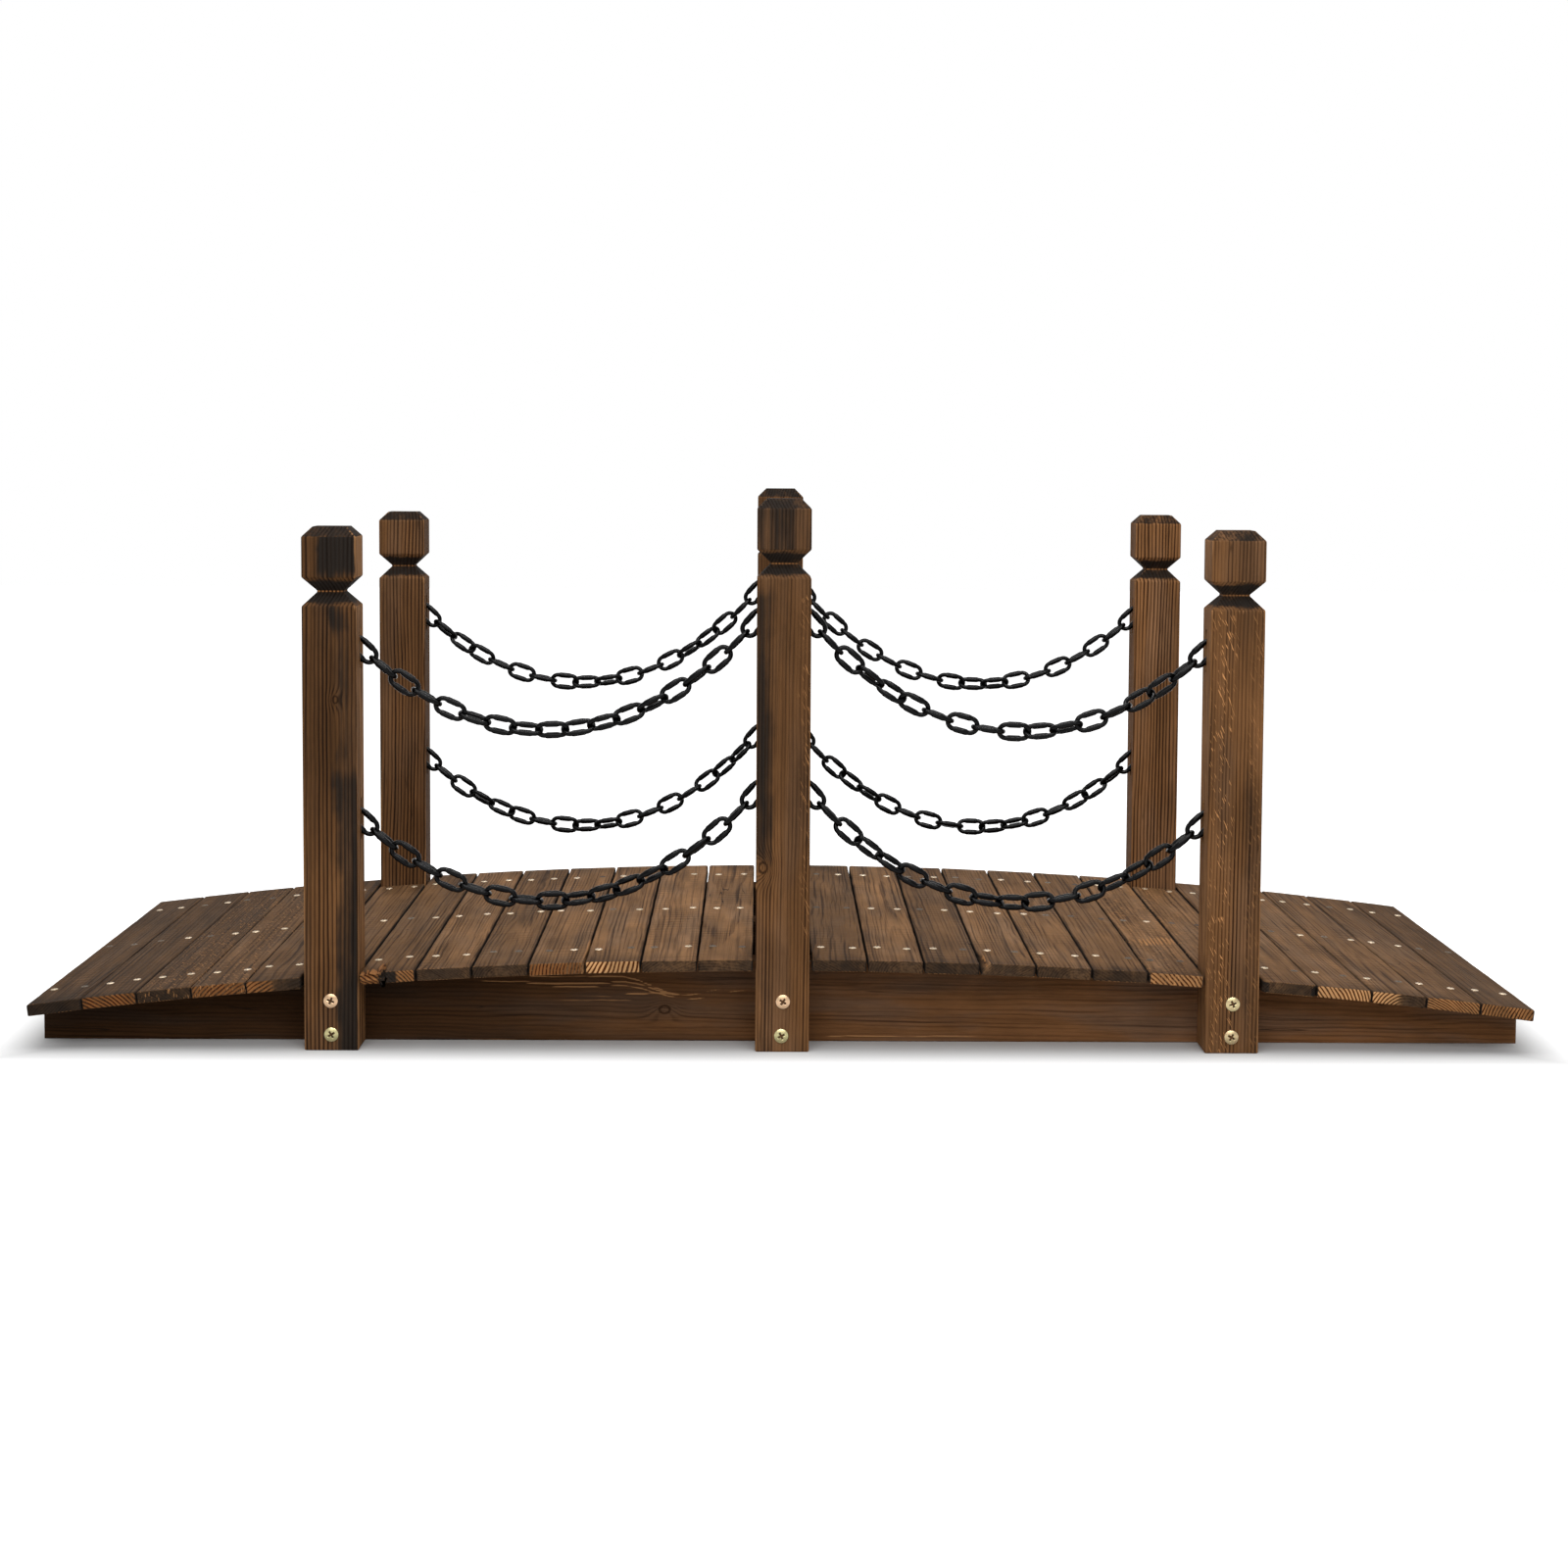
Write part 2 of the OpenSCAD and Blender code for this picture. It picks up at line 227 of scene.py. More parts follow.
def crowded(start, end, step, near):
    """Stations from start to end, set at the distances in near from both ends and evenly between."""
    near = np.asarray(near)
    inner = (end - start) - 2 * near[-1]
    even = np.linspace(0, inner, max(2, int(inner / step)) + 1)[1:-1] + near[-1]
    return start + np.concatenate([near, even, (end - start) - near[::-1]])


def carried(outline, low, high, end_round, step, near, caps):
    """Carries a section from low to high and closes both ends with rounded rings.

    A ring stands back from its end, is inset along the section's normals and shrunk to its scale. Returns how far
    along, across and up each point lies.
    """
    section, normal = outline
    setback, inset, scale = end_rings(end_round, caps)
    stations = crowded(low + end_round, high - end_round, step, near)[1:-1]
    along = np.concatenate([low + setback, stations, high - setback[::-1]])
    middle = np.zeros(len(stations))
    inset = np.concatenate([inset, middle, inset[::-1]])[:, None]
    scale = np.concatenate([scale, middle + 1, scale[::-1]])[:, None]
    across = (section[:, 0] - inset * normal[:, 0]) * scale
    up = (section[:, 1] - inset * normal[:, 1]) * scale
    return np.repeat(along[:, None], len(section), axis=1), across, up


def first_rings(grid, count):
    """1 on a grid's first rings, 0 on the others."""
    return np.repeat((np.arange(len(grid)) < count)[:, None] * 1.0, grid.shape[1], axis=1)


def wander(values, longest, seed):
    """Smooth random wave of about unit height: five sines, each shorter and lower than the one before."""
    pick = np.random.default_rng(seed)
    octave = np.arange(5)
    phase = pick.uniform(0, 2 * math.pi, 5)
    pace = 2 * math.pi / longest * 1.83 ** octave * pick.uniform(0.85, 1.15, 5)
    waves = np.sin(np.asarray(values)[..., None] * pace + phase) * 0.6 ** octave
    return waves.sum(axis=-1) / 1.6


def ease(value, low, high):
    """Smooth step from 0 at low to 1 at high."""
    part = np.clip((value - low) / (high - low), 0, 1)
    return part * part * (3 - 2 * part)


def between(value, low, high, soft):
    """1 from low to high, easing to 0 over the distance soft on either side."""
    return ease(value, low - soft, low + soft) * (1 - ease(value, high - soft, high + soft))


def tube_faces(rings, around):
    """Faces of a closed tube: four-sided between neighbouring rings, and fans to the two poles after the last ring."""
    ring, place = np.meshgrid(np.arange(rings - 1), np.arange(around), indexing="ij")
    after = (place + 1) % around
    quads = np.stack([ring * around + place, ring * around + after,
                      (ring + 1) * around + after, (ring + 1) * around + place], axis=-1).reshape(-1, 4)
    place = np.arange(around)
    after = (place + 1) % around
    pole, last = rings * around, (rings - 1) * around
    first_fan = np.stack([np.full(around, pole), after, place], axis=1)
    last_fan = np.stack([np.full(around, pole + 1), last + place, last + after], axis=1)
    return quads, np.concatenate([first_fan, last_fan])


def outward(points, quads, fans):
    """The same faces, turned over if the volume that they enclose comes out negative."""
    corners = np.concatenate([quads[:, :3], quads[:, [0, 2, 3]], fans])
    a, b, c = (points[corners[:, side]] for side in range(3))
    if np.einsum("ij,ij->i", a, np.cross(b, c)).sum() < 0:
        return quads[:, ::-1], fans[:, ::-1]
    return quads, fans


def make_piece(name, points, quads, fans, material, marks=None, stands_for=None):
    """Puts points and faces into a smooth mesh with its painted marks, and hands the piece to the frame."""
    mesh = bpy.data.meshes.new(name)
    mesh.from_pydata(points, [], quads.tolist() + fans.tolist())
    mesh.polygons.foreach_set("use_smooth", np.ones(len(mesh.polygons), dtype=bool))
    for mark, values in (marks or {}).items():
        mesh.attributes.new(mark, "FLOAT", "POINT").data.foreach_set("value", np.ravel(values).astype(np.float32))
    mesh.materials.append(material)
    mesh.validate()
    mesh.update()
    piece = bpy.data.objects.new(name, mesh)
    bpy.context.scene.collection.objects.link(piece)
    if stands_for:
        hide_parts(stands_for)
    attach(piece, "root")
    return piece


def make_tube(name, rings, marks, material, stands_for):
    """Closes a grid of rings, first pole and last pole at the middles of its end rings, into one piece."""
    count, around = rings.shape[:2]
    points = np.concatenate([rings.reshape(-1, 3), rings[[0, -1]].mean(axis=1)])
    full = {mark: np.concatenate([np.ravel(values), values[[0, -1]].mean(axis=1)]) for mark, values in marks.items()}
    quads, fans = outward(points, *tube_faces(count, around))
    return make_piece(name, points, quads, fans, material, full, stands_for)


# Shader nodes

class Value:
    """A shader value on a sheet: its sums, differences and products become Math nodes."""

    def __init__(self, sheet, socket):
        self.sheet, self.socket = sheet, socket

    def __add__(self, other):
        return self.sheet.math("ADD", self, other)

    def __radd__(self, other):
        return self.sheet.math("ADD", other, self)

    def __sub__(self, other):
        return self.sheet.math("SUBTRACT", self, other)

    def __rsub__(self, other):
        return self.sheet.math("SUBTRACT", other, self)

    def __mul__(self, other):
        return self.sheet.math("MULTIPLY", self, other)

    def centred(self, gain):
        """A value that lies about one half, moved to zero and multiplied."""
        return (self - 0.5) * gain

    def step(self, low, high):
        """Smooth step from 0 at low to 1 at high."""
        inputs = {"Value": self, "From Min": low, "From Max": high}
        return self.sheet.out("MapRange", inputs, interpolation_type="SMOOTHSTEP")


class NodeSheet:
    """Adds nodes to one tree and wires their inputs from other values or plain numbers."""

    def __init__(self, tree):
        self.tree = tree

    def wire(self, value, socket):
        if isinstance(value, Value):
            self.tree.links.new(value.socket, socket)
        else:
            socket.default_value = value

    def put(self, kind, inputs=None, **options):
        node = self.tree.nodes.new("ShaderNode" + kind)
        for name, value in options.items():
            setattr(node, name, value)
        for key, value in (inputs or {}).items():
            self.wire(value, node.inputs[key])
        return node

    def out(self, kind, inputs=None, output=0, **options):
        return Value(self, self.put(kind, inputs, **options).outputs[output])

    def math(self, operation, *values, clamp=False):
        return self.out("Math", dict(enumerate(values)), operation=operation, use_clamp=clamp)

    def split(self, vector):
        return [Value(self, part) for part in self.put("SeparateXYZ", {0: vector}).outputs]

    def stretched(self, vector, factors):
        return self.out("VectorMath", {0: vector, 1: factors}, operation="MULTIPLY")

    def noise(self, vector, factors, detail=2.0, roughness=0.5):
        inputs = {"Vector": self.stretched(vector, factors), "Scale": 1.0, "Detail": detail, "Roughness": roughness}
        return self.out("TexNoise", inputs)

    def mix(self, factor, first, second, blend="MIX"):
        return self.out("Mix", {0: factor, 6: first, 7: second}, 2, data_type="RGBA", blend_type=blend)

    def grey(self, value):
        return self.out("CombineColor", {0: value, 1: value, 2: value})

    def shaded(self, tint, value):
        return self.mix(1.0, tint, self.grey(value), "MULTIPLY")

    def bumped(self, height, strength, distance):
        return self.out("Bump", {"Height": height, "Strength": strength, "Distance": distance})

    def seen(self, *rays):
        """1 for rays of the named kinds, 0 for others."""
        path = self.put("LightPath").outputs
        picked = Value(self, path[rays[0]])
        for ray in rays[1:]:
            picked = self.math("MAXIMUM", picked, Value(self, path[ray]))
        return picked


def opaque(colour_value):
    return (*colour_value, 1.0)


def new_group(name, inputs, outputs):
    """An empty shader group with named sockets, the values it takes and the sockets it gives."""
    tree = bpy.data.node_groups.new(name, "ShaderNodeTree")
    for direction, sockets in (("INPUT", inputs), ("OUTPUT", outputs)):
        for label, kind in sockets.items():
            tree.interface.new_socket(name=label, in_out=direction, socket_type="NodeSocket" + kind)
    sheet = NodeSheet(tree)
    entry = tree.nodes.new("NodeGroupInput").outputs
    given = tree.nodes.new("NodeGroupOutput").inputs
    return sheet, {label: Value(sheet, entry[label]) for label in inputs}, given


# What the wood groups hand over: outputs of the figure, then the finish's colours, amounts and painted marks
FIGURE = ("Rings", "Fibres", "Bands", "Pores", "Smoke")
TINTS = ("Early Wood", "Late Wood", "Char Colour", "Raw Early", "Raw Late", "Worn Colour")
AMOUNTS = ("Ring Contrast", "Streaks", "Blotches", "Greying", "Cracks", "Char Break", "Saw Marks")
# The Char mark also paints shade into the plank gaps and post grooves, and the Wear mark paints light onto the posts'
# side faces
MARKS = ("Tone", "Char", "Raw", "Wear", "Nicks")
CRACK_COLOUR = srgb(24, 17, 12)


def fir_figure_group():
    """Growth rings and fibres of fir, sampled in millimetres with the grain along Z and the pith on the Z axis.

    A ring line is the fraction of (distance from the pith + slow noise + ring shift) / spacing: it darkens through
    the summer and ends sharply, and every year has its own strength. The other outputs are noise at four sizes.
    """
    sheet, taken, given = new_group(
        "fir_figure",
        {"Grain Position": "Vector", "Ring Spacing": "Float", "Ring Bend": "Float", "Ring Shift": "Float"},
        dict.fromkeys(FIGURE, "Float"))
    position = taken["Grain Position"]
    across, up, _ = sheet.split(position)
    pith = sheet.math("SQRT", across * across + up * up)
    slow = sheet.noise(position, (0.022, 0.022, 0.0045)).centred(taken["Ring Bend"])
    small = sheet.noise(position, (0.11, 0.11, 0.012)).centred(1.2)
    years = sheet.math("DIVIDE", (pith + slow) + (small + taken["Ring Shift"]), taken["Ring Spacing"])
    season = sheet.math("FRACT", years)
    year = sheet.out("TexWhiteNoise", {"W": sheet.math("FLOOR", years)}, noise_dimensions="1D")
    line = season.step(0.30, 0.74) - season.step(0.84, 1.0)
    gain = 0.55 + sheet.noise(position, (0.05, 0.05, 0.003)).step(0.3, 0.65) * 0.45
    sheet.wire(line * (gain * (0.5 + year * 0.5)), given["Rings"])
    for output, factors, detail, low, high in (
            ("Fibres", (0.46, 0.46, 0.0014), 5.0, 0.30, 0.70), ("Bands", (0.13, 0.13, 0.0014), 3.0, 0.32, 0.68),
            ("Pores", (2.4, 2.4, 0.07), 2.0, 0.25, 0.75), ("Smoke", (0.024, 0.024, 0.008), 4.0, 0.32, 0.68)):
        sheet.wire(sheet.noise(position, factors, detail, 0.58).step(low, high), given[output])
    return sheet.tree


def knot_group():
    """A knot: rings bulge by a bell curve of the distance from its axis, and its core has a dark outline.

    The distance is taken across the grain and, shrunk to three quarters, along it.
    """
    sheet, taken, given = new_group(
        "knot", {"Grain Position": "Vector", "Centre": "Vector", "Size": "Float", "Bulge": "Float"},
        {"Ring Shift": "Float", "Core": "Float"})
    away = sheet.out("VectorMath", {0: taken["Grain Position"], 1: taken["Centre"]}, operation="SUBTRACT")
    flat = sheet.stretched(away, (1.0, 0.25, 0.75))
    distance = sheet.math("DIVIDE", sheet.out("VectorMath", {0: flat}, "Value", operation="LENGTH"), taken["Size"])
    bell = sheet.math("EXPONENT", distance * distance * -0.35)
    sheet.wire(bell * taken["Bulge"], given["Ring Shift"])
    sheet.wire(distance.step(0.40, 0.60) - distance.step(0.70, 0.95), given["Core"])
    return sheet.tree


def char_finish_group():
    """Colour, roughness and height of scorched and brushed fir, from its figure and the marks painted on the piece.

    Rings, fibres and bands mix early and late wood; smoke darkens in patches and weather greys it; then bare wood,
    char that also paints shade, nicks, cracks and rubbed edges that also paint light are laid over it, each with an
    edge broken by the grain.
    """
    sheet, taken, given = new_group(
        "char_finish",
        {"Grain Position": "Vector", **dict.fromkeys(FIGURE, "Float"), **dict.fromkeys(TINTS, "Color"),
         **dict.fromkeys(AMOUNTS + MARKS, "Float")},
        {"Colour": "Color", "Roughness": "Float", "Height": "Float"})
    position = taken["Grain Position"]
    rings, fibres, bands, pores, smoke = (taken[label] for label in FIGURE)
    grain = fibres.centred(1.3) + bands.centred(0.6)
    darkness = sheet.math("ADD", rings * taken["Ring Contrast"], grain * taken["Streaks"], clamp=True)
    wood = sheet.mix(darkness, taken["Early Wood"], taken["Late Wood"])

    saw_line = sheet.out("TexWave", {"Vector": position, "Scale": 0.02, "Distortion": 6.0, "Detail": 2.0,
                                     "Detail Scale": 0.5}, 1, wave_type="BANDS", bands_direction="Z")
    saw_place = sheet.noise(position, (0.03, 0.03, 0.012)).step(0.42, 0.68)
    saw = saw_line.centred(1.0) * saw_place * taken["Saw Marks"]
    patches = smoke.centred(2.0) * taken["Blotches"]
    tone = sheet.math("MAXIMUM", 0.3, 1.0 + (pores.centred(0.22) + saw * 0.4 - patches))
    wood = sheet.shaded(wood, tone * taken["Tone"])
    dull = sheet.mix(1.0, sheet.grey(sheet.out("RGBToBW", {0: wood})), (1.10, 1.0, 0.88, 1), "MULTIPLY")
    weather = sheet.noise(position, (0.035, 0.035, 0.006), 3.0).step(0.42, 0.66)
    wood = sheet.mix(weather * taken["Greying"], wood, dull)

    bare_wood = sheet.mix(rings.step(0.05, 0.42), taken["Raw Early"], taken["Raw Late"])
    bare_wood = sheet.shaded(bare_wood, 1.0 + smoke.centred(0.5))
    torn = smoke.centred(0.4) + fibres.centred(0.4) - rings * 1.1
    bare = (taken["Raw"] + torn).step(0.10, 0.50) * taken["Raw"].step(0.05, 0.2)
    wood = sheet.mix(bare, wood, bare_wood)

    # Char lays the charcoal colour both as real char and as painted shade in the plank gaps and post grooves
    broken = smoke.centred(1.4) + (fibres.centred(1.2) + bands.centred(1.2))
    halfway = taken["Char"] * (1.0 - taken["Char"])
    scorched = (taken["Char"] + broken * halfway * taken["Char Break"]).step(0.1, 0.9)
    charred = sheet.mix(darkness * 0.5, taken["Char Colour"], taken["Late Wood"])
    charred = sheet.shaded(charred, 1.05 + fibres.centred(0.25) - rings * 0.7)
    wood = sheet.mix(scorched, wood, charred)

    tilted = sheet.out("VectorRotate", {"Vector": position, "Axis": (0, 1, 0), "Angle": math.radians(24)})
    nick = sheet.noise(tilted, (0.95, 0.15, 0.08), 2.0, 0.4).step(0.63, 0.68)
    fresh = sheet.mix(1.0, taken["Worn Colour"], (1.7, 1.6, 1.45, 1), "MULTIPLY")
    wood = sheet.mix(nick * taken["Nicks"], wood, fresh)

    seam = sheet.math("ABSOLUTE", sheet.noise(position, (0.085, 0.085, 0.0022), 1.0).centred(1.0))
    crack_place = sheet.noise(position, (0.03, 0.03, 0.005), 1.0).step(0.54, 0.60)
    crack = (1.0 - seam.step(0.0008, 0.006)) * crack_place * taken["Cracks"]
    wood = sheet.mix(crack, wood, opaque(CRACK_COLOUR))

    # Wear lays the worn colour both as rubbed wood and as painted light on the posts' side faces
    held = fibres.centred(0.35) + smoke.centred(0.5) - rings * 0.6
    rubbed = (taken["Wear"] + held).step(0.48, 0.88)
    wood = sheet.mix(rubbed * 0.85, wood, taken["Worn Colour"])

    sheet.wire(wood, given["Colour"])
    sheet.wire(sheet.math("ADD", 0.74, pores.centred(0.15) + scorched * 0.08, clamp=True), given["Roughness"])
    sheet.wire(rings * 0.7 + fibres * 0.35 + pores * 0.15 + saw * 0.5 - crack * 1.5, given["Height"])
    return sheet.tree


def shared_group(sheet, maker, inputs):
    """Places a shader group on a sheet with its own inputs; the group is built the first time it is asked for."""
    name = maker.__name__.removesuffix("_group")
    return sheet.put("Group", inputs, node_tree=bpy.data.node_groups.get(name) or maker())


def plain_material(name):
    material = bpy.data.materials.new(name)
    material.use_nodes = True
    sheet = NodeSheet(material.node_tree)
    shader = next(node for node in material.node_tree.nodes if node.type == "BSDF_PRINCIPLED")
    return material, sheet, shader.inputs


# Turns of Object coordinates that bring the grain onto Z
GRAIN_ALONG_X = (0.0, -math.pi / 2, 0.0)
GRAIN_ALONG_Y = (math.pi / 2, 0.0, 0.0)
GRAIN_ALONG_Z = (0.0, 0.0, 0.0)


def turned(place, grain):
    """A place in metres, in the millimetres that the wood groups sample, before the pith is moved."""
    x, y, z = (value / MM for value in place)
    if grain is GRAIN_ALONG_X:
        return np.array([-z, y, x])
    if grain is GRAIN_ALONG_Y:
        return np.array([x, -z, y])
    return np.array([x, y, z])


def fir_material(name, board, middle, grain, pith, spacing, lean, bend, amounts, shade=1.0, bare_shade=1.0, knot=None):
    """Scorched fir for one piece: middle is the piece's middle, pith the pith's offset from it across the grain in mm.

    board holds the early and the late wood's colour, and amounts go in the order of AMOUNTS. lean tilts the pith so
    that rings run out in arches; knot is (place in metres, size in mm, bulge in mm).
    """
    finish = settings("finish")
    # Less bright bare wood is also redder
    bare = bare_shade ** np.array([1.0, 1.3, 1.6])
    # The worn colour dims only weakly with a board's shade, which keeps the painted light on dark posts' side faces
    # bright
    tints = (np.array(board.early_wood) * shade, np.array(board.late_wood) * shade, finish.char,
             np.array(finish.raw_early) * bare, np.array(finish.raw_late) * bare, np.array(finish.worn) * shade ** 0.3)
    material, sheet, shader = plain_material(name)
    offset = -turned(middle, grain) - np.array([*pith, 0.0])
    grained = sheet.out("Mapping", {"Vector": sheet.out("TexCoord", output="Object"), "Location": tuple(offset),
                                    "Rotation": grain, "Scale": (1 / MM, 1 / MM, 1 / MM)})
    position = sheet.out("Mapping", {"Vector": grained, "Rotation": (*lean, 0.0)})
    figure_inputs = {"Grain Position": position, "Ring Spacing": spacing, "Ring Bend": bend}
    if knot:
        place, size, bulge = knot
        swirl = shared_group(sheet, knot_group, {"Grain Position": grained, "Size": size, "Bulge": bulge,
                                                 "Centre": tuple(turned(place, grain) + offset)}).outputs
        figure_inputs["Ring Shift"] = Value(sheet, swirl["Ring Shift"])
    figure = shared_group(sheet, fir_figure_group, figure_inputs).outputs
    wood_inputs = {"Grain Position": position, **dict(zip(AMOUNTS, amounts))}
    wood_inputs.update({label: Value(sheet, figure[label]) for label in FIGURE})
    wood_inputs.update({label: opaque(tint) for label, tint in zip(TINTS, tints)})
    wood_inputs.update({mark: sheet.out("Attribute", output="Fac", attribute_name=mark.lower()) for mark in MARKS})
    wood = {socket.name: Value(sheet, socket) for socket in shared_group(sheet, char_finish_group, wood_inputs).outputs}
    seen_wood = wood["Colour"]
    if knot:
        outline = Value(sheet, swirl["Core"]) * 0.8
        seen_wood = sheet.mix(outline, seen_wood, opaque(np.array(board.late_wood) * 0.55))
    sheet.wire(seen_wood, shader["Base Color"])
    sheet.wire(wood["Roughness"], shader["Roughness"])
    sheet.wire(sheet.bumped(wood["Height"], 0.7, 0.0005), shader["Normal"])
    shader["Specular IOR Level"].default_value = 0.05
    return material


# Planks

# Planks whose near end shows bare wood: share that is bare, side of the end that it keeps to (-1 left, 0 all, 1 right),
# direction from the end's middle to the pith in degrees, ring spacing in millimetres, and brightness
BARE_ENDS = {
    2: (0.8, 0, 125, 3.6, 0.29), 4: (0.8, 0, 50, 3.6, 0.32), 5: (0.8, -1, 60, 3.6, 0.36), 7: (0.7, 1, 130, 3.2, 0.42),
    10: (0.7, 0, 8, 3.4, 0.30), 11: (1.2, 0, 205, 4.4, 0.86), 21: (1.0, 0, 145, 3.6, 0.62),
    24: (1.0, 0, 155, 3.4, 0.78), 25: (0.95, -1, 75, 3.2, 0.80), 26: (0.9, 0, 128, 2.4, 0.52),
    27: (0.9, 0, 25, 3.4, 0.46)}
# Tone of a plank's top beside the others, from 1
PLANK_TONES = {
    1: 0.42, 2: 0.40, 3: 0.44, 4: 0.60, 5: 0.58, 6: 0.75, 7: 0.70, 8: 0.98, 9: 0.72, 10: 0.94, 11: 1.02, 12: 1.12,
    13: 1.0, 15: 0.66, 16: 1.0, 17: 0.68, 18: 0.98, 19: 0.98, 20: 0.90, 21: 1.06, 23: 0.98, 24: 0.94, 25: 0.82,
    26: 0.72, 27: 0.52}
# Distance from the end's middle to the pith in mm, where the rings show as arcs
NEAR_PITHS = {25: 24}
NICKED_PLANKS = (3, 4, 21, 22)
SPLINTERED_PLANK = 7
WANED_PLANK = 18
RUBBED_EDGE_PLANK = 10
# Pale scuffs on plank tops: place across and from the near end, half width and half length, in mm
SCUFFS = {21: (4, 200, 26, 26)}
ROUNDED_PLANK = 23
ARCHED_GRAIN_PLANKS = (16, 19, 9)
# Distances from a plank's rounded ends at which its first rings lie
PLANK_STEPS = np.array([0, 1.2, 2.6, 4.2, 6, 8.5, 12, 16, 21, 27, 35, 44, 54]) * MM


def plank_rings(number, size, deck):
    """A plank round the origin: a rounded section carried along Y and closed by rounded ends.

    Each end stands back by a random jog, the long edges wander a little, and the marked planks lose a corner.
    Returns the rings as across, along and up, and the marks painted on them.
    """
    width, long, thick = size
    pick = np.random.default_rng((deck.seed, number))

    def wave(values, longest, line):
        return wander(values, longest, (deck.seed, number, line))

    broken = number == SPLINTERED_PLANK
    runs = (72, 8, 36, 8) if broken else (24, 4, 8, 4)
    caps = np.linspace(0.1, 0.9, 9) if broken else END_CAPS
    jog = pick.uniform(0, deck.end_jog, 2)
    near, far = -long / 2 + jog[0], long / 2 - jog[1]
    outline = rounded_section(width, thick, deck.top_round, deck.low_round, runs)
    along, across, up = carried(outline, near, far, deck.end_round, 0.015, PLANK_STEPS, caps)

    side = across / (width / 2)
    from_near, from_far = along - near, far - along
    edge_wave = wave(along + 3.1 * np.sign(side), 0.11, 1) * 0.00018
    across = across + edge_wave * np.sign(side) * side ** 4
    up = up + wave(across * 2 + along, 0.21, 2) * 0.00012
    reach = {ROUNDED_PLANK: 0.008}.get(number, pick.uniform(0.0008, 0.0022))
    corner = np.clip(reach - from_near, 0, None)
    across = across - side * np.abs(side) ** 3 * (reach - np.sqrt(np.clip(reach ** 2 - corner ** 2, 0, None)))

    near_face = first_rings(up, len(caps) + 2)
    far_face = near_face[::-1]
    share, keeps = BARE_ENDS.get(number, (0.0, 0))[:2]
    cover = 1.0 if keeps == 0 else ease(side * keeps, -0.25, 0.25)
    far_share = pick.choice([0.0, 0.0, 0.8])
    raw = near_face * share * cover + far_face * far_share
    char = near_face * (1 - share * cover) * 0.62 + far_face * (1 - far_share) * 0.7
    on_edge = 1 - ease(np.minimum(width / 2 - np.abs(across), np.minimum(from_near, from_far)), 0.0006, 0.0032)
    edge_wear = 0.52 - 0.35 * ease(from_near, 0.001, 0.004)
    wear = np.clip(on_edge * (up > 0) * edge_wear - near_face - far_face, 0, 1)
    rim = (up < 0.001 - thick / 2) * (1 - ease(from_near, 0.0008, 0.003))
    wear = np.maximum(wear, rim * 0.62)
    # The side faces down in the gaps between planks are charred black all over: painted shade where the gaps fall dark.
    flank = ease(np.abs(side), 0.96, 0.999) * (1 - near_face) * (1 - far_face)
    uneven = 0.5 + 0.5 * wave(along + 7 * np.sign(side), 0.16, 3)
    # The long top edges are charred unevenly: partly real char, partly painted shade that widens the dark seams between
    # planks.
    seam_char_and_shade = ease(np.abs(side), 0.80, 1.0) * uneven * 0.5
    front_edge = (1 - ease(from_near, 0.004, 0.040)) * pick.uniform(0.0, 0.5) * (up > 0)
    char = np.maximum(char, flank * ease(-up, -thick / 2 + 0.0002, -thick / 2 + 0.0016))
    char = np.maximum(char, np.maximum(seam_char_and_shade, front_edge) * (1 - near_face))
    nicks = np.full_like(up, 0.5 * (number in NICKED_PLANKS))
    stripes = wave(across * 5 + along * 0.3, 0.19, 4) * wave(along, 0.45, 5)
    tone = 1 + 0.22 * stripes + 0.10 * wave(along + across, 0.37, 6)
    tone = tone * (1 - pick.uniform(0.05, 0.4) * (1 - ease(from_near, 0.010, 0.060)))

    if number in SCUFFS:
        place, distance, half_wide, half_long = (value * MM for value in SCUFFS[number])
        apart = np.hypot((across - place) / half_wide, (from_near - distance - 0.4 * (across - place)) / half_long)
        raw = np.maximum(raw, (1 - ease(apart, 0.4, 1.2)) * (up > 0) * 0.8)
    if number == WANED_PLANK:
        lost = ease(-side, 0.55, 1.0) * (1 - ease(from_near, 0.004, 0.095)) * ease(up, -thick / 2, thick / 2)
        across = across + lost * (0.0062 + 0.0008 * np.sin(from_near / 0.0045))
        raw = np.maximum(raw, lost * 0.3 * (1 - near_face))
        char = char * (1 - lost)
    if number == RUBBED_EDGE_PLANK:
        near_part = 1 - ease(from_near, 0.10, 0.20)
        wear = np.maximum(wear, ease(side, 0.86, 0.95) * near_part * (0.75 + 0.4 * uneven))
        char = char * (1 - ease(side, 0.80, 0.92) * near_part)
    if broken:
        from_left = across + width / 2
        open_half = 0.0030 * np.clip(1 - from_near / 0.060, 0, 1)
        split = from_left - 0.0225 - 0.0008 * np.sin(from_near / 0.006)
        lost = (1 - ease(np.abs(split), open_half * 0.7, open_half * 1.1 + 1e-6)) * (up > -thick / 4)
        lip = (1 - ease(from_left, 0.016, 0.020)) * (1 - ease(from_near, 0.006, 0.026))
        up = up - lost * 0.0070 - lip * (up > 0) * (0.0016 + 0.0012 * np.sin(across / 0.0021))
        along = along + lip * near_face * 0.0018 * np.sin(up / 0.0011)
        torn_edge = (np.abs(split + 0.0035) < 0.0026) * (from_near < 0.05) * (up > 0)
        raw = np.maximum(raw, np.maximum(lip * 0.9, torn_edge * 0.8))
        char = np.where(lost > 0.5, 1.0, char * (1 - lip))
        burnt = near_face * ease(from_left, 0.018, 0.021) * (1 - ease(from_left, 0.034, 0.040))
        char = np.maximum(char, burnt * 0.95)
    marks = {"tone": tone, "raw": raw, "char": char, "wear": wear, "nicks": nicks}
    return np.stack([across, along, up], axis=-1), marks


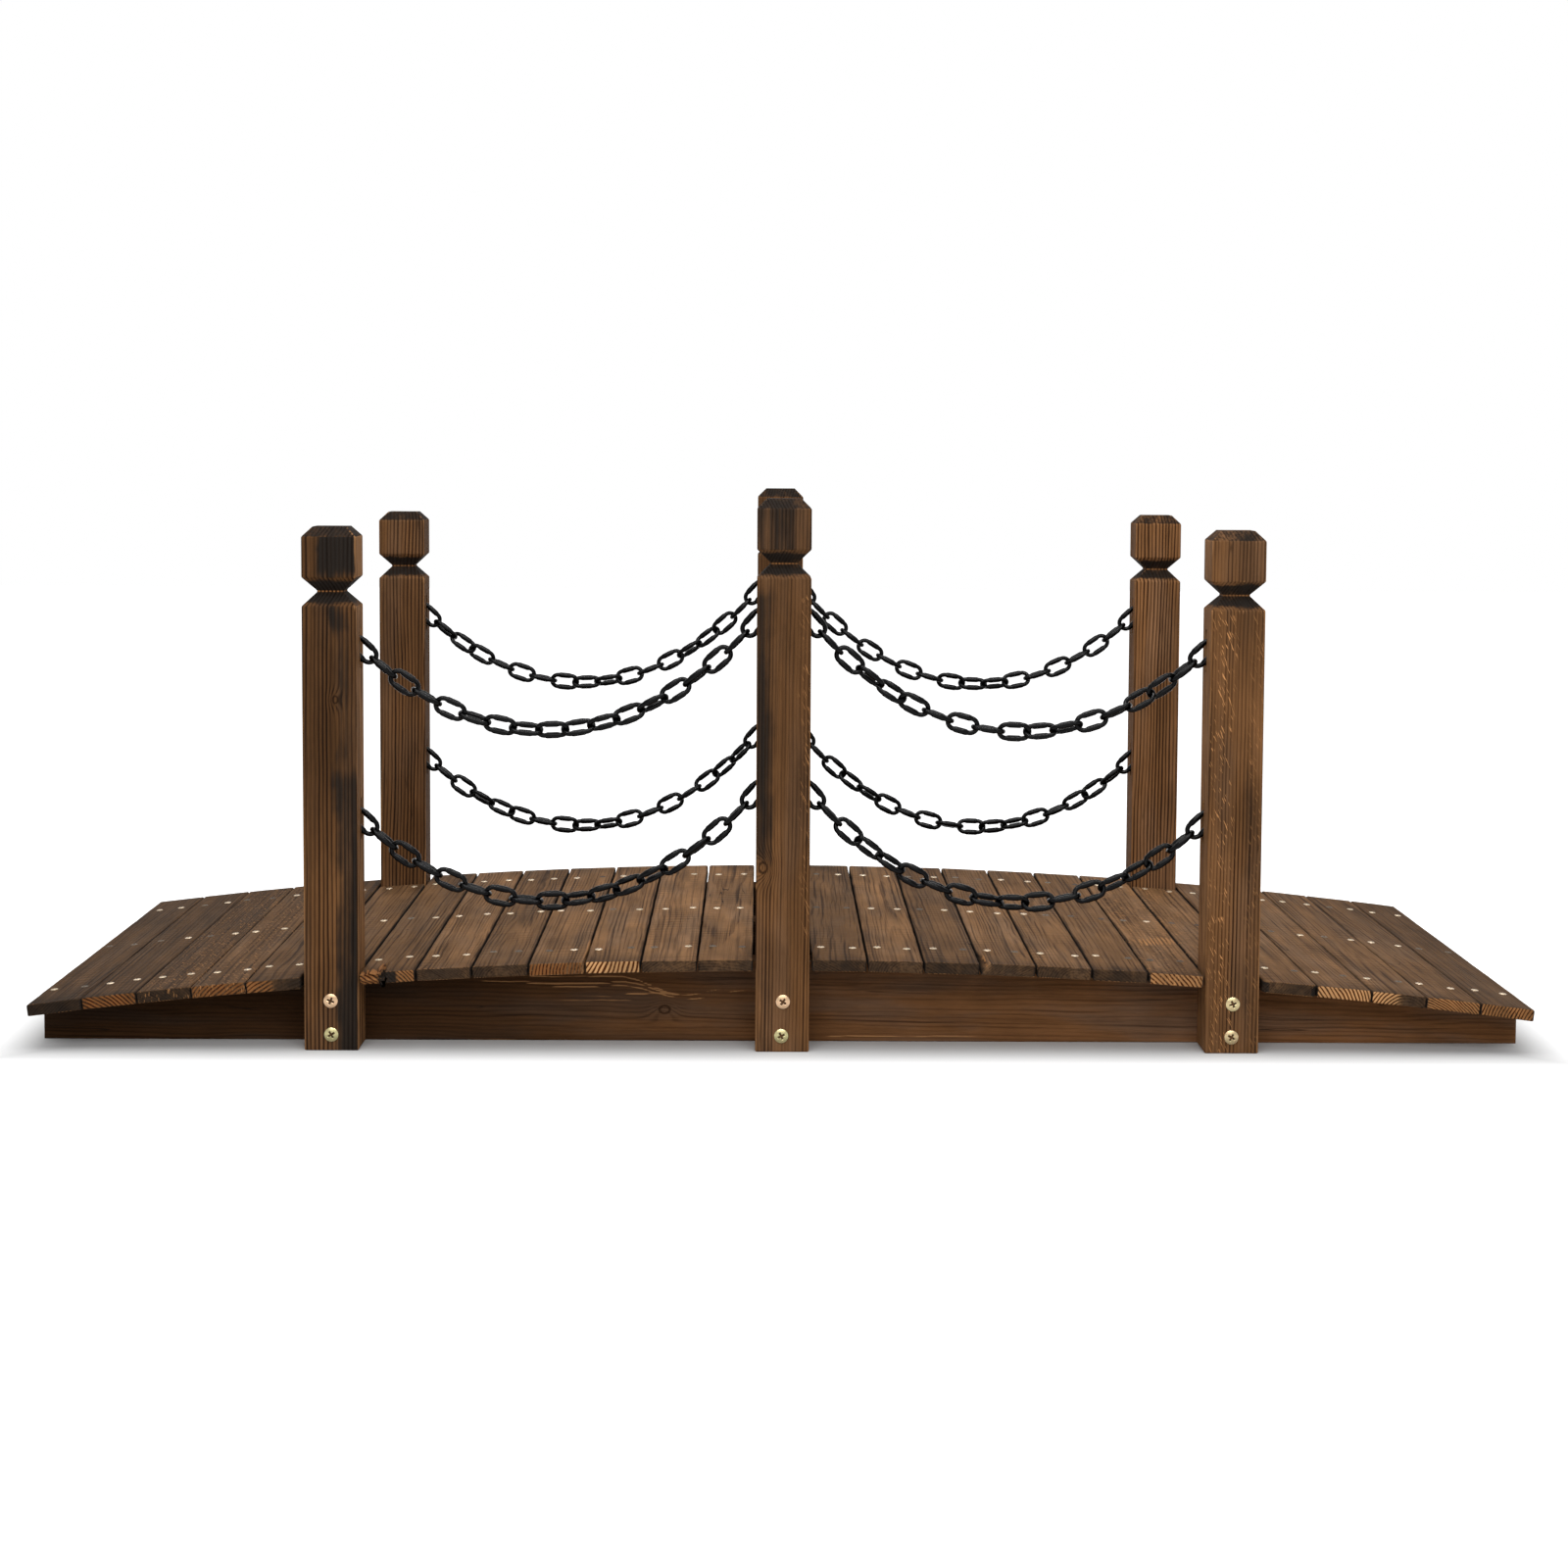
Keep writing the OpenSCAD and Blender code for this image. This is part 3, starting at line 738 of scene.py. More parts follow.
def plank_material(number, middle, deck):
    """A plank's own board of fir: bare ends have their own pith and rings, the others random ones."""
    pick = np.random.default_rng((deck.seed, number, 5))
    plain_end = (0, 0, pick.uniform(40, 140), pick.uniform(1.8, 3.2), 0.5)
    _, _, pith_turn, spacing, brightness = BARE_ENDS.get(number, plain_end)
    turn, away = math.radians(pith_turn), pick.uniform(70, 130)
    away = NEAR_PITHS.get(number, away)
    pith = (away * math.cos(turn), away * math.sin(turn))
    if number in ARCHED_GRAIN_PLANKS:
        pith, spacing = (pick.uniform(-8, 8), 16.0), 2.6
    lean = (pick.uniform(-0.012, 0.012), pick.uniform(-0.012, 0.012))
    bend = pick.uniform(6, 12)
    amounts = (0.9, 0.8, 0.18, 0.15, 0.55 + 0.4 * (pick.random() > 0.7), 0.35, pick.uniform(0.3, 1.0))
    shade = PLANK_TONES.get(number, pick.uniform(0.84, 1.0))
    return fir_material(f"plank_{number:02d}_fir", deck, middle, GRAIN_ALONG_Y, pith, spacing, lean, bend, amounts,
                        shade, brightness)


def plank_places():
    """Each plank's node, its box and middle, and how far it leans to lie tangent to the arch."""
    arch_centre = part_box(JOISTS[0])[1].z - settings("deck").arch_radius
    for node in PLANKS:
        low, high, middle = box_of(node)
        yield node, low, high, middle, math.atan2(middle[0], middle[2] - arch_centre)


class FOOTBRIDGE_OT_planks(bpy.types.Operator):
    """Make the deck planks, each lying tangent to the arch"""
    bl_idname = "footbridge.planks"
    bl_label = "Planks"

    def execute(self, context):
        deck = settings("deck")
        for number, (node, low, high, middle, lean) in enumerate(plank_places(), start=1):
            wide, long, tall = high - low
            # The leaning box is wide = w cos + t sin and tall = w sin + t cos
            cos, sin, double = math.cos(lean), abs(math.sin(lean)), math.cos(2 * lean)
            size = ((wide * cos - tall * sin) / double, long, (tall * cos - wide * sin) / double)
            rings, marks = plank_rings(number, size, deck)
            turn = np.array(Matrix.Rotation(lean, 3, "Y"))
            material = plank_material(number, middle, deck)
            make_tube(f"plank_{number:02d}", rings @ turn.T + middle, marks, material, node)
        return {"FINISHED"}


# Joists

FRONT_JOIST = JOISTS[0]
# Place of the front joist's knot along X and up, and its size and bulge, in mm
JOIST_KNOT = (-120.5, 32.6, 6.0, 9.0)
# For each joist: pith offset from its middle and ring spacing, in mm
JOIST_BOARDS = (((-90, 60), 3.6), ((50, -30), 3.4), ((-70, 50), 2.8))
JOIST_AMOUNTS = (0.6, 0.4, 0.15, 0.3, 0.6, 1.0, 0.0)
# Tilt of the joists' pith in radians, and ring bend in mm
JOIST_LEAN, JOIST_BEND = (0.012, -0.02), 14
JOIST_STEPS = np.array([0, 2, 5, 10, 18, 28]) * MM
# Thin rubbed lines on the front joist: left and right end, height, how far they bend down, and strength; in mm
RUBBED_LINES = (
    (-262, -180, 59.5, 0, 1.4), (-238, -186, 56.2, 0, 1.2), (-262, -196, 66.8, 0, 1.0), (-200, -106, 66.4, 19, 1.4),
    (-176, -108, 61.6, 15, 1.4), (-178, -112, 57.2, 12, 1.3), (-161, -139, 48.6, 0, 1.6), (-310, -258, 61.5, 0, 0.9),
    (-136, -120, 51.5, 3, 1.2), (45, 205, 5.5, 0, 1.0), (-330, -240, 50.0, 0, 0.7), (-310, -150, 42.0, 0, 0.6),
    (-250, -170, 46.0, 0, 0.6), (-108, -20, 47.0, -14, 0.75), (-104, -30, 43.0, -10, 0.7))
# Stretch of X over which the lines left of the knot bend down; the others bend over their whole length
KNOT_LEFT, KNOT_BEND = -100, (-0.165, -0.100)


def joist_rings(low, high, joist, arch_radius, rubbed):
    """A joist: a rounded rectangle carried along X, its upper half lowered by the arch's sagitta at each station.

    The front face is painted dark towards the left end, as if it had stood nearest the flame.
    """
    _, wide, tall = high - low
    runs, step = ((10, 110, 8, 14), 0.004) if rubbed else ((10, 14, 8, 14), 0.012)
    outline = rounded_section(wide, tall, joist.edge_round, joist.edge_round, runs)
    x, across, height = carried(outline, low[0], high[0], joist.end_round, step, JOIST_STEPS, END_CAPS)
    sagitta = arch_radius - np.sqrt(arch_radius ** 2 - x ** 2)
    up = (height + tall / 2) - sagitta * (height / tall + 0.5)
    rings = np.stack([x, across + (low[1] + high[1]) / 2, up], axis=-1)
    front = ease(-across, wide * 0.45, wide * 0.49)
    lit = 0.78 * ease(x, -0.45, 0.15) + 0.14 * ease(x, 0.1, 0.5) + 0.14 * ease(x, 0.5, 0.65)
    tone = 1.12 - front * (0.86 - lit + 0.05 * wander(x, 0.5, 4))
    wear = front * between(up, 0.0, 0.0016, 0.0012) * 0.45
    for left, right, line, bent, strength in rubbed:
        bend = KNOT_BEND if right < KNOT_LEFT else (left * MM, right * MM)
        height = line * MM - bent * MM * ease(x, *bend) + 0.0004 * wander(x, 0.12, int(line))
        thin = 1 - ease(np.abs(up - height), 0.0003, 0.0012)
        wear = np.maximum(wear, front * thin * between(x, left * MM, right * MM, 0.010) * strength)
    ends = first_rings(up, len(END_CAPS))
    return rings, {"tone": tone, "char": (ends + ends[::-1]) * 0.45, "wear": wear}


class FOOTBRIDGE_OT_joists(bpy.types.Operator):
    """Make the three joists, flat underneath and arched on top"""
    bl_idname = "footbridge.joists"
    bl_label = "Joists"

    def execute(self, context):
        joist = settings("joist")
        for node, (pith, spacing) in zip(JOISTS, JOIST_BOARDS):
            low, high, middle = box_of(node)
            rubbed, knot = (), None
            if node == FRONT_JOIST:
                along, up, size, bulge = JOIST_KNOT
                rubbed, knot = RUBBED_LINES, ((along * MM, low[1], up * MM), size, bulge)
            rings, marks = joist_rings(low, high, joist, settings("deck").arch_radius, rubbed)
            material = fir_material(f"{node}_fir", joist, middle, GRAIN_ALONG_X, pith, spacing, JOIST_LEAN,
                                    JOIST_BEND, JOIST_AMOUNTS, knot=knot)
            make_tube(f"{node}_timber", rings, marks, material, node)
        return {"FINISHED"}


# Posts

# For each post: pith offset from its middle in mm, ring spacing in mm, ring contrast, tone, ring bend in mm, scorch of
# its top, and how much paler its foot is painted, as painted light bounced up from the floor
POST_BOARDS = {
    "front_left": ((-120, 40), 3.6, 1.35, 0.50, 5, 0.75, 0.65),
    "front_middle": ((130, 50), 3.0, 0.9, 0.60, 4, 0.8, 0.55),
    "front_right": ((140, 60), 3.0, 1.0, 0.86, 4, 0.6, 0.0),
    "back_left": ((-110, -50), 4.0, 1.6, 0.76, 9, 0.8, 0.1),
    "back_middle": ((110, -60), 3.0, 0.8, 0.50, 5, 0.8, 0.0),
    "back_right": ((-60, -40), 4.0, 1.5, 1.20, 9, 0.7, 0.1)}
# Scorched bands on a post's outer face: left and right edge across it and low and high end, in mm, softness, strength
SCORCHED_BANDS = {
    "front_left": ((8, 22, 290, 450, 3, 0.52), (5, 34, -20, 285, 7, 0.78), (-12, 30, 477, 530, 4, 0.95),
                   (3, 24, 418, 452, 4, 0.75), (-30, 30, 440, 456, 6, 0.35)),
    "front_middle": ((-36, -9, 190, 470, 11, 0.76), (-36, -9, -20, 200, 11, 0.22), (-30, 30, 495, 560, 9, 0.62)),
    "front_right": ((8, 26, -20, 300, 6, 0.30),),
    "back_left": ((18, 30, 0, 450, 5, 0.7), (-34, 34, 477, 530, 20, 0.45)),
    "back_middle": ((-30, 30, 0, 560, 9, 0.45),),
    "back_right": ((-30, -20, 0, 450, 6, 0.45),)}
# Nicked bands, in the same way
NICKED_BANDS = {
    "front_right": ((-25, -4, 0, 450, 4, 0.9), (14, 27, 0, 450, 4, 0.4)),
    "back_right": ((8, 27, 0, 450, 6, 0.6),),
    "front_middle": ((18, 27, 120, 470, 3, 0.5),)}
# Amounts that the posts share after their own ring contrast, tilt of their pith in radians, shade of their bare necks
POST_AMOUNTS, POST_LEAN, POST_BARE = (0.4, 0.2, 0.15, 0.5, 1.0, 0.0), (0.006, -0.008), 0.4
# How far a post's two side faces are painted pale: partly rubbed wear, partly painted light that lifts them
SIDE_WEAR_AND_LIGHT = {"front_left": 1.0, "front_right": 0.78}
# Knots on a post's front: place across and up, size and bulge, in mm
POST_KNOTS = {"front_left": (6.0, 356.0, 4.0, 5.0), "front_middle": (-20.0, 188.0, 6.0, 14.0)}
# Faces that a post's chains enter: 1 for the right one, -1 for the left one
SLOT_SIDES = {"left": (1,), "middle": (-1, 1), "right": (-1,)}
# Half of the distance over which a slot's edge falls in
SLOT_WALL = 0.00035


def post_outline(half, tall, post):
    """Half width of a post against height: straight shaft, V groove, head and chamfer, each break a small curve.

    A break is a quadratic curve from a point on one side to a point on the other, with the break as its handle.
    """
    neck_top = tall - post.head_height - post.groove_depth
    neck_low = neck_top - post.neck_height
    neck = half - post.groove_depth
    breaks = np.array([[half - 0.001, 0], [half, 0.001], [half, neck_low - post.groove_depth], [neck, neck_low],
                       [neck, neck_top], [half, tall - post.head_height], [half, tall - post.cap_chamfer],
                       [half - post.cap_chamfer, tall]])
    eases = np.array([0, 0.0006, 0.0012, 0.0003, 0.0003, 0.0012, 0.0014, 0])[:, None]
    ahead = np.diff(breaks, axis=0, append=breaks[-1:])
    ahead /= np.maximum(np.linalg.norm(ahead, axis=1, keepdims=True), 1e-9)
    behind = np.roll(ahead, 1, axis=0)
    part = np.linspace(0, 1, 5)[None, :, None]
    begin, end = (breaks - behind * eases)[:, None], (breaks + ahead * eases)[:, None]
    curves = (1 - part) ** 2 * begin + 2 * part * (1 - part) * breaks[:, None] + part ** 2 * end
    points = curves.reshape(-1, 2)
    keep = np.append(True, np.linalg.norm(np.diff(points, axis=0), axis=1) > 1e-7)
    return points[keep]


def filled(points, step):
    """The same outline with its long straight stretches cut into lengths of at most step."""
    gaps = np.linalg.norm(np.diff(points, axis=0), axis=1)
    counts = np.maximum(1, np.ceil(gaps / step)).astype(int)
    start = np.repeat(np.arange(len(counts)), counts)
    part = (np.arange(counts.sum()) - np.repeat(np.cumsum(counts) - counts, counts)) / counts[start]
    return np.concatenate([points[start] + part[:, None] * (points[start + 1] - points[start]), points[-1:]])


def post_rings(place, low, high, post):
    """A post: a rounded square carried up Z and scaled by the outline's half width, with slots pushed into its sides.

    A slot is the depth times a smooth step of the distance inside a stadium, upright and round at both ends.
    """
    row, column = place.split("_")
    half, tall = (high[0] - low[0]) / 2, high[2]
    middle = (low + high) / 2
    inner = 1 if row == "front" else -1
    slot_line = inner * (half - post.chain_offset)
    slot_heights = [tall - post.rail_drop - post.slot_drop - level * post.rail_spacing for level in (0, 1)]
    head_low = tall - post.head_height
    neck_top = head_low - post.groove_depth
    neck_low = neck_top - post.neck_height
    shaft_top = neck_low - post.groove_depth
    cap_low = tall - post.cap_chamfer

    # Rows: the outline, and more of them round the slots' ends
    outline = filled(post_outline(half, tall, post), 0.006)
    reach = post.slot_height / 2
    slot_end = np.linspace(reach - 0.0055, reach + 0.0015, 12)
    slot_rows = np.concatenate([-slot_end, np.linspace(0.009 - reach, reach - 0.009, 7), slot_end])
    near_slots = np.concatenate([centre + slot_rows for centre in slot_heights])
    shaft = np.stack([np.full(len(near_slots), half), near_slots], axis=1)
    rows = np.concatenate([outline, shaft[near_slots < shaft_top - 0.004]])
    rows = rows[np.argsort(rows[:, 1], kind="stable")]
    caps = np.array(END_CAPS)
    rows = np.concatenate([np.stack([caps * rows[0, 0], caps * 0 + rows[0, 1]], axis=1), rows,
                           np.stack([caps[::-1] * rows[-1, 0], caps * 0 + rows[-1, 1]], axis=1)])
    out, up = rows.T

    # Columns: even ones, and more of them along the slots' edges
    edge = post.slot_width / 2
    lip = np.array([edge / 2, edge - SLOT_WALL, edge + SLOT_WALL, edge + 3 * SLOT_WALL])
    lips = np.concatenate([sign * slot_line + np.concatenate([-lip, [0], lip]) for sign in (-1, 1)])
    even = np.linspace(-half + post.edge_round, half - post.edge_round, 19)[1:-1]
    even = even[np.abs(even[:, None] - lips).min(axis=1) > 0.0008]
    columns = np.sort(np.concatenate([even, lips]))
    turn = np.linspace(0, math.pi / 2, 5)
    arc = half - post.edge_round + post.edge_round * np.stack([np.cos(turn), np.sin(turn)], axis=1)
    face = np.concatenate([np.stack([np.full(len(columns), half), columns], axis=1), arc])
    loop = np.concatenate([face @ np.array([[c, s], [-s, c]]) for c, s in ((1, 0), (0, 1), (-1, 0), (0, -1))])

    width = out[:, None] / half
    x, y = loop[:, 0] * width, loop[:, 1] * width
    z = np.repeat(up[:, None], len(loop), axis=1)
    from_edge = half * width - np.minimum(np.abs(x), np.abs(y))
    for centre in slot_heights:
        upright = np.clip(np.abs(z - centre) - (reach - edge), 0, None)
        inside = ease(edge - np.hypot(upright, y - slot_line), -SLOT_WALL, SLOT_WALL)
        for face_side in SLOT_SIDES[column]:
            x = x - face_side * post.slot_depth * inside * (x * face_side > half - 1e-6)

    outer = ease(-inner * y, half * 0.96, half * 0.995)
    char, nicks = np.zeros_like(x), np.zeros_like(x)
    # Posts whose names are equally long share their waves
    seed = len(place) + len("_post")
    *_, top_char, foot_bounce_light = POST_BOARDS[place]
    # The foot is painted paler: painted light bounced up from the floor.
    tone = 1 + foot_bounce_light * (1 - ease(z, 0.12, 0.32)) + 0.08 * wander(z + 2 * x, 0.21, seed + 3)
    drift = wander(z, 0.16, seed) * 0.003
    for painted, bands in ((char, SCORCHED_BANDS), (nicks, NICKED_BANDS)):
        for left, right, bottom, top, soft, strength in bands.get(place, ()):
            band = between(x + drift, left * MM, right * MM, soft * MM) * between(z, bottom * MM, top * MM, 0.014)
            np.maximum(painted, band * strength * outer, out=painted)
    # The V groove under the head is charred near black: partly real char, partly painted shade in the recess.
    groove = ease(half - out, 0.0005, 0.003) * (up < head_low) * (up > 0.01)
    cap = ease(up, cap_low - 0.0006, cap_low + 0.001)
    char = np.maximum(char, (groove * 0.9 + cap * top_char)[:, None])
    neck = between(up, neck_low, neck_top, 0.0004)[:, None]
    char = char * (1 - neck)
    at_corner = 1 - ease(from_edge, 0.0008, 0.0026)
    rim = np.maximum(between(up, head_low - 0.0006, head_low + 0.0012, 0.0006),
                     between(up, shaft_top - 0.0016, shaft_top + 0.0004, 0.0006))[:, None]
    # The whole side faces take the pale colour: partly rubbed wear, partly painted light that lifts them above the
    # front.
    flank = SIDE_WEAR_AND_LIGHT.get(place, 0.0) * (np.abs(x) > half - 0.0004) * (out > half - 0.0004)[:, None]
    wear = np.maximum(np.clip(at_corner * 0.62 + rim * 0.35, 0, 0.8), flank)
    rings = np.stack([x, y, z], axis=-1) + np.array([middle[0], middle[1], 0])
    raw = np.broadcast_to(neck * 0.55, x.shape)
    return rings, {"tone": tone, "char": char, "raw": raw, "wear": wear, "nicks": nicks}


class FOOTBRIDGE_OT_posts(bpy.types.Operator):
    """Make the six posts with their heads, grooves and chain slots"""
    bl_idname = "footbridge.posts"
    bl_label = "Posts"

    def execute(self, context):
        post = settings("post")
        for node in POSTS:
            low, high, middle = box_of(node)
            place = node.removesuffix("_post")
            rings, marks = post_rings(place, low, high, post)
            pith, spacing, contrast, tone, bend, *_ = POST_BOARDS[place]
            knot = None
            if place in POST_KNOTS:
                across, up, size, bulge = POST_KNOTS[place]
                knot = ((middle[0] + across * MM, low[1], up * MM), size, bulge)
            material = fir_material(f"{node}_fir", post, middle, GRAIN_ALONG_Z, pith, spacing, POST_LEAN, bend,
                                    (contrast, *POST_AMOUNTS), tone, POST_BARE, knot)
            make_tube(f"{node}_timber", rings, marks, material, node)
        return {"FINISHED"}


# Chains

# Points of a packed link that lie in the same cell of this size are one
JOIN_WITHIN = 2e-6


class FOOTBRIDGE_OT_chains(bpy.types.Operator):
    """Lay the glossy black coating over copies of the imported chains"""
    bl_idname = "footbridge.chains"
    bl_label = "Chains"

    def execute(self, context):
        finish, material = settings("finish"), chain_material()
        no_quads = np.empty((0, 4), dtype=int)
        for node in CHAINS:
            points, fans = coated_links(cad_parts[node].data, finish.coating)
            links = make_piece(f"{node}_links", points, no_quads, fans, material, stands_for=node)
            links.modifiers.new("fewer_faces", "DECIMATE").ratio = finish.link_faces
        return {"FINISHED"}


def coated_links(bare, coating):
    """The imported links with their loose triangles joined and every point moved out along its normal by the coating.

    A point's normal is the sum of the normals of the triangles that meet in it, weighted by their areas.
    """
    corners = np.empty(len(bare.loops), dtype=np.int32)
    bare.loops.foreach_get("vertex_index", corners)
    places = np.empty(len(bare.vertices) * 3, dtype=np.float32)
    bare.vertices.foreach_get("co", places)
    places = places.reshape(-1, 3)
    cells = np.round(places / JOIN_WITHIN).astype(np.int64)
    _, first, joined = np.unique(cells, axis=0, return_index=True, return_inverse=True)
    points = places[first].astype(float)
    fans = joined.ravel()[corners].reshape(-1, 3)
    a, b, c = (points[fans[:, side]] for side in range(3))
    facing = np.cross(b - a, c - a)
    normals = np.zeros_like(points)
    for side in range(3):
        np.add.at(normals, fans[:, side], facing)
    return points + coating * normals / np.maximum(np.linalg.norm(normals, axis=1, keepdims=True), 1e-15), fans


def chain_material():
    """Glossy black coating with faint ripples, rubbed thin in small spots."""
    finish = settings("finish")
    material, sheet, shader = plain_material("black_chain_steel")
    where = sheet.out("TexCoord", output="Object")
    spots = sheet.noise(where, (420, 420, 420), 3.0).step(0.60, 0.72)
    coat = sheet.mix(spots * 0.5, opaque(finish.black_steel), opaque(finish.rubbed_steel))
    sheet.wire(coat, shader["Base Color"])
    sheet.wire(0.10 + sheet.noise(where, (260, 260, 260)) * 0.14, shader["Roughness"])
    sheet.wire(sheet.bumped(sheet.noise(where, (900, 900, 900)), 0.35, 0.0002), shader["Normal"])
    shader["Specular IOR Level"].default_value = 0.09
    return material


# Screws

def screw_head(radius, rim, dome, recess, arm, rings, around):
    """A pan head with a cross recess, facing +Z: a dome of revolution, sunk where either arm of the cross lies.

    Heights are dome * (1 - r^2), minus the recess inside an arm; the skirt drops by rim at the edge. Returns the
    points, faces and how dark each point is painted: the cross recess gets dirt and painted shade.
    """
    radii = np.concatenate([[1.0, 1.0], np.linspace(0.93, 0.10, rings)])
    # Half a step of turn puts two points of a coarse head at the end of each arm
    angle = (np.arange(around) + 0.5 * (around < 20)) * 2 * math.pi / around
    r, turn = np.meshgrid(radii, angle, indexing="ij")
    x, y = r * np.cos(turn), r * np.sin(turn)
    narrow, wide = np.minimum(np.abs(x), np.abs(y)), np.maximum(np.abs(x), np.abs(y))
    sunk = (1 - ease(narrow, arm * 0.75, arm * 1.25)) * (1 - ease(wide, 0.44, 0.56))
    z = dome * (1 - r ** 2) - recess * sunk * (1 - 0.5 * r)
    z[0] = -rim
    poles = np.array([[0, 0, -rim], [0, 0, dome - recess]])
    points = np.concatenate([np.stack([x * radius, y * radius, z], axis=-1).reshape(-1, 3), poles])
    # The cross recess is painted dark: partly dirt, partly painted shade
    soot_and_shade = np.append(np.ravel(sunk), [0.0, 1.0])
    return points, *outward(points, *tube_faces(len(radii), around)), soot_and_shade


def drive(name, head, turns, places, head_soot_and_shade, tarnish, material):
    """Makes one piece of copies of a head, each turned by its own matrix and moved to its place."""
    points, quads, fans, soot_and_shade = head
    moved = np.einsum("kij,pj->kpi", turns, points) + places[:, None]
    shift = (np.arange(len(places)) * len(points))[:, None, None]
    marks = {"soot_and_shade": np.clip(soot_and_shade[None] + head_soot_and_shade[:, None], 0, 1), "tarnish": np.repeat(tarnish, len(points))}
    make_piece(name, moved.reshape(-1, 3), (quads[None] + shift).reshape(-1, 4), (fans[None] + shift).reshape(-1, 3),
               material, marks)


def screw_material(name, zinc, rough):
    """Plated steel whose tint follows the tarnish mark, dark and dull where the dark mark is painted: dirt and painted
    shade.
    """
    screw = settings("screw")
    material, sheet, shader = plain_material(name)
    where = sheet.out("TexCoord", output="Object")
    soot_and_shade, tarnish = (sheet.out("Attribute", output="Fac", attribute_name=mark) for mark in ("soot_and_shade", "tarnish"))
    cloud = sheet.noise(where, (500, 500, 500), 3.0)
    spread = sheet.math("ADD", tarnish, cloud.step(0.35, 0.7).centred(0.4), clamp=True)
    plated = sheet.mix(spread, opaque(zinc), opaque(screw.tarnish))
    sheet.wire(sheet.mix(soot_and_shade, plated, opaque(screw.soot_and_shade)), shader["Base Color"])
    sheet.wire(sheet.math("SUBTRACT", 1.0, soot_and_shade, clamp=True), shader["Metallic"])
    sheet.wire(sheet.math("ADD", rough, soot_and_shade * 0.4, clamp=True) + cloud.centred(0.2), shader["Roughness"])
    return material


# How far a deck screw's rim stands off the wood, and most that a screw strays across and along its plank
DECK_STAND, DECK_STRAY = 0.00015, (0.003, 0.005)


class FOOTBRIDGE_OT_deck_screws(bpy.types.Operator):
    """Drive a pair of screws through every plank into each joist"""
    bl_idname = "footbridge.deck_screws"
    bl_label = "Deck Screws"

    def execute(self, context):
        screw = settings("screw")
        pick = np.random.default_rng(settings("deck").seed)
        lines = [(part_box(node)[0].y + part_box(node)[1].y) / 2 for node in JOISTS]
        leans, places = [], []
        for _, low, high, middle, lean in plank_places():
            turn = np.array(Matrix.Rotation(lean, 3, "Y"))
            thick = (high[2] - low[2]) - abs(math.sin(lean)) * (high[0] - low[0])
            for line in lines:
                for side in (-1, 1):
                    across = side * screw.deck_pair / 2 + pick.uniform(-DECK_STRAY[0], DECK_STRAY[0])
                    place = turn @ np.array([across, 0, thick / 2 + DECK_STAND]) + middle
                    place[1] = line + pick.uniform(-DECK_STRAY[1], DECK_STRAY[1])
                    leans.append(lean)
                    places.append(place)
        count = len(places)
        spins = pick.uniform(0, math.pi / 2, count)
        turns = np.array([np.array(Matrix.Rotation(lean, 3, "Y") @ Matrix.Rotation(spin, 3, "Z"))
                          for lean, spin in zip(leans, spins)])
        # About three in ten deck screw heads are painted dark all over: painted shade that stands for screws sunk below
        # the wood
        head_soot_and_shade = np.where(pick.random(count) < 0.3, pick.uniform(0.8, 1.0, count), pick.uniform(0, 0.1, count))
        head = screw_head(screw.deck_head / 2, rim=0.0006, dome=0.0012, recess=0.0011, arm=0.16, rings=3, around=16)
        drive("deck_screws", head, turns, np.array(places), head_soot_and_shade, pick.uniform(0, 0.3, count),
              screw_material("plated_deck_screw", screw.deck_zinc, 0.32))
        return {"FINISHED"}


# How far a post screw's rim stands off the wood
POST_STAND = 0.0008
# Tarnish of a post's lower and upper screw
POST_TARNISH = {"left": (1.0, 0.1), "middle": (1.0, 0.1), "right": (0.5, 0.7)}


class FOOTBRIDGE_OT_post_screws(bpy.types.Operator):
    """Drive two large screws into the outer face of every post"""
    bl_idname = "footbridge.post_screws"
    bl_label = "Post Screws"

    def execute(self, context):
        screw = settings("screw")
        pick = np.random.default_rng(23)
        places, turns, tarnish = [], [], []
        for level, height in enumerate((screw.post_low, screw.post_high)):
            for node in POSTS:
                low, high, middle = box_of(node)
                row, column = node.split("_")[:2]
                face, way = (low[1] - POST_STAND, 1) if row == "front" else (high[1] + POST_STAND, -1)
                places.append((middle[0] + pick.uniform(-0.001, 0.001), face, height + pick.uniform(-0.001, 0.001)))
                facing = Matrix.Rotation(way * math.pi / 2, 3, "X")
                turns.append(np.array(facing @ Matrix.Rotation(pick.uniform(0, math.pi / 2), 3, "Z")))
                tarnish.append(POST_TARNISH[column][level])
        head = screw_head(screw.post_head / 2, rim=0.0012, dome=0.0013, recess=0.0026, arm=0.12, rings=14, around=56)
        drive("post_screws", head, np.array(turns), np.array(places), np.zeros(len(places)), np.array(tarnish),
              screw_material("plated_post_screw", screw.zinc, 0.28))
        return {"FINISHED"}


# Stage

# Name, place, aim and size of the studio's lamps
SOFTBOXES = (("overhead_softbox", (0.0, -0.5, 2.3), (0.0, 0.0, 0.2), (2.6, 2.0)),
             ("front_softbox", (0.0, -3.2, 2.0), (0.0, 0.0, 0.2), (3.0, 2.0)),
             ("strip_lamp", (0.0, -1.1, 2.0), (0.0, 0.0, 0.3), (2.4, 0.07)))
FLOOR_REACH = 9.0
# Where the floor keeps its shadow: past the middle along X, how much less for each metre back, and the nearest and
# farthest Y; and the distance over which the shadow then fades to white
SHADOW_X, SHADOW_NARROWS, SHADOW_NEAR, SHADOW_FAR, SHADOW_FADE = 0.72, 0.35, -0.31, 0.36, 0.16


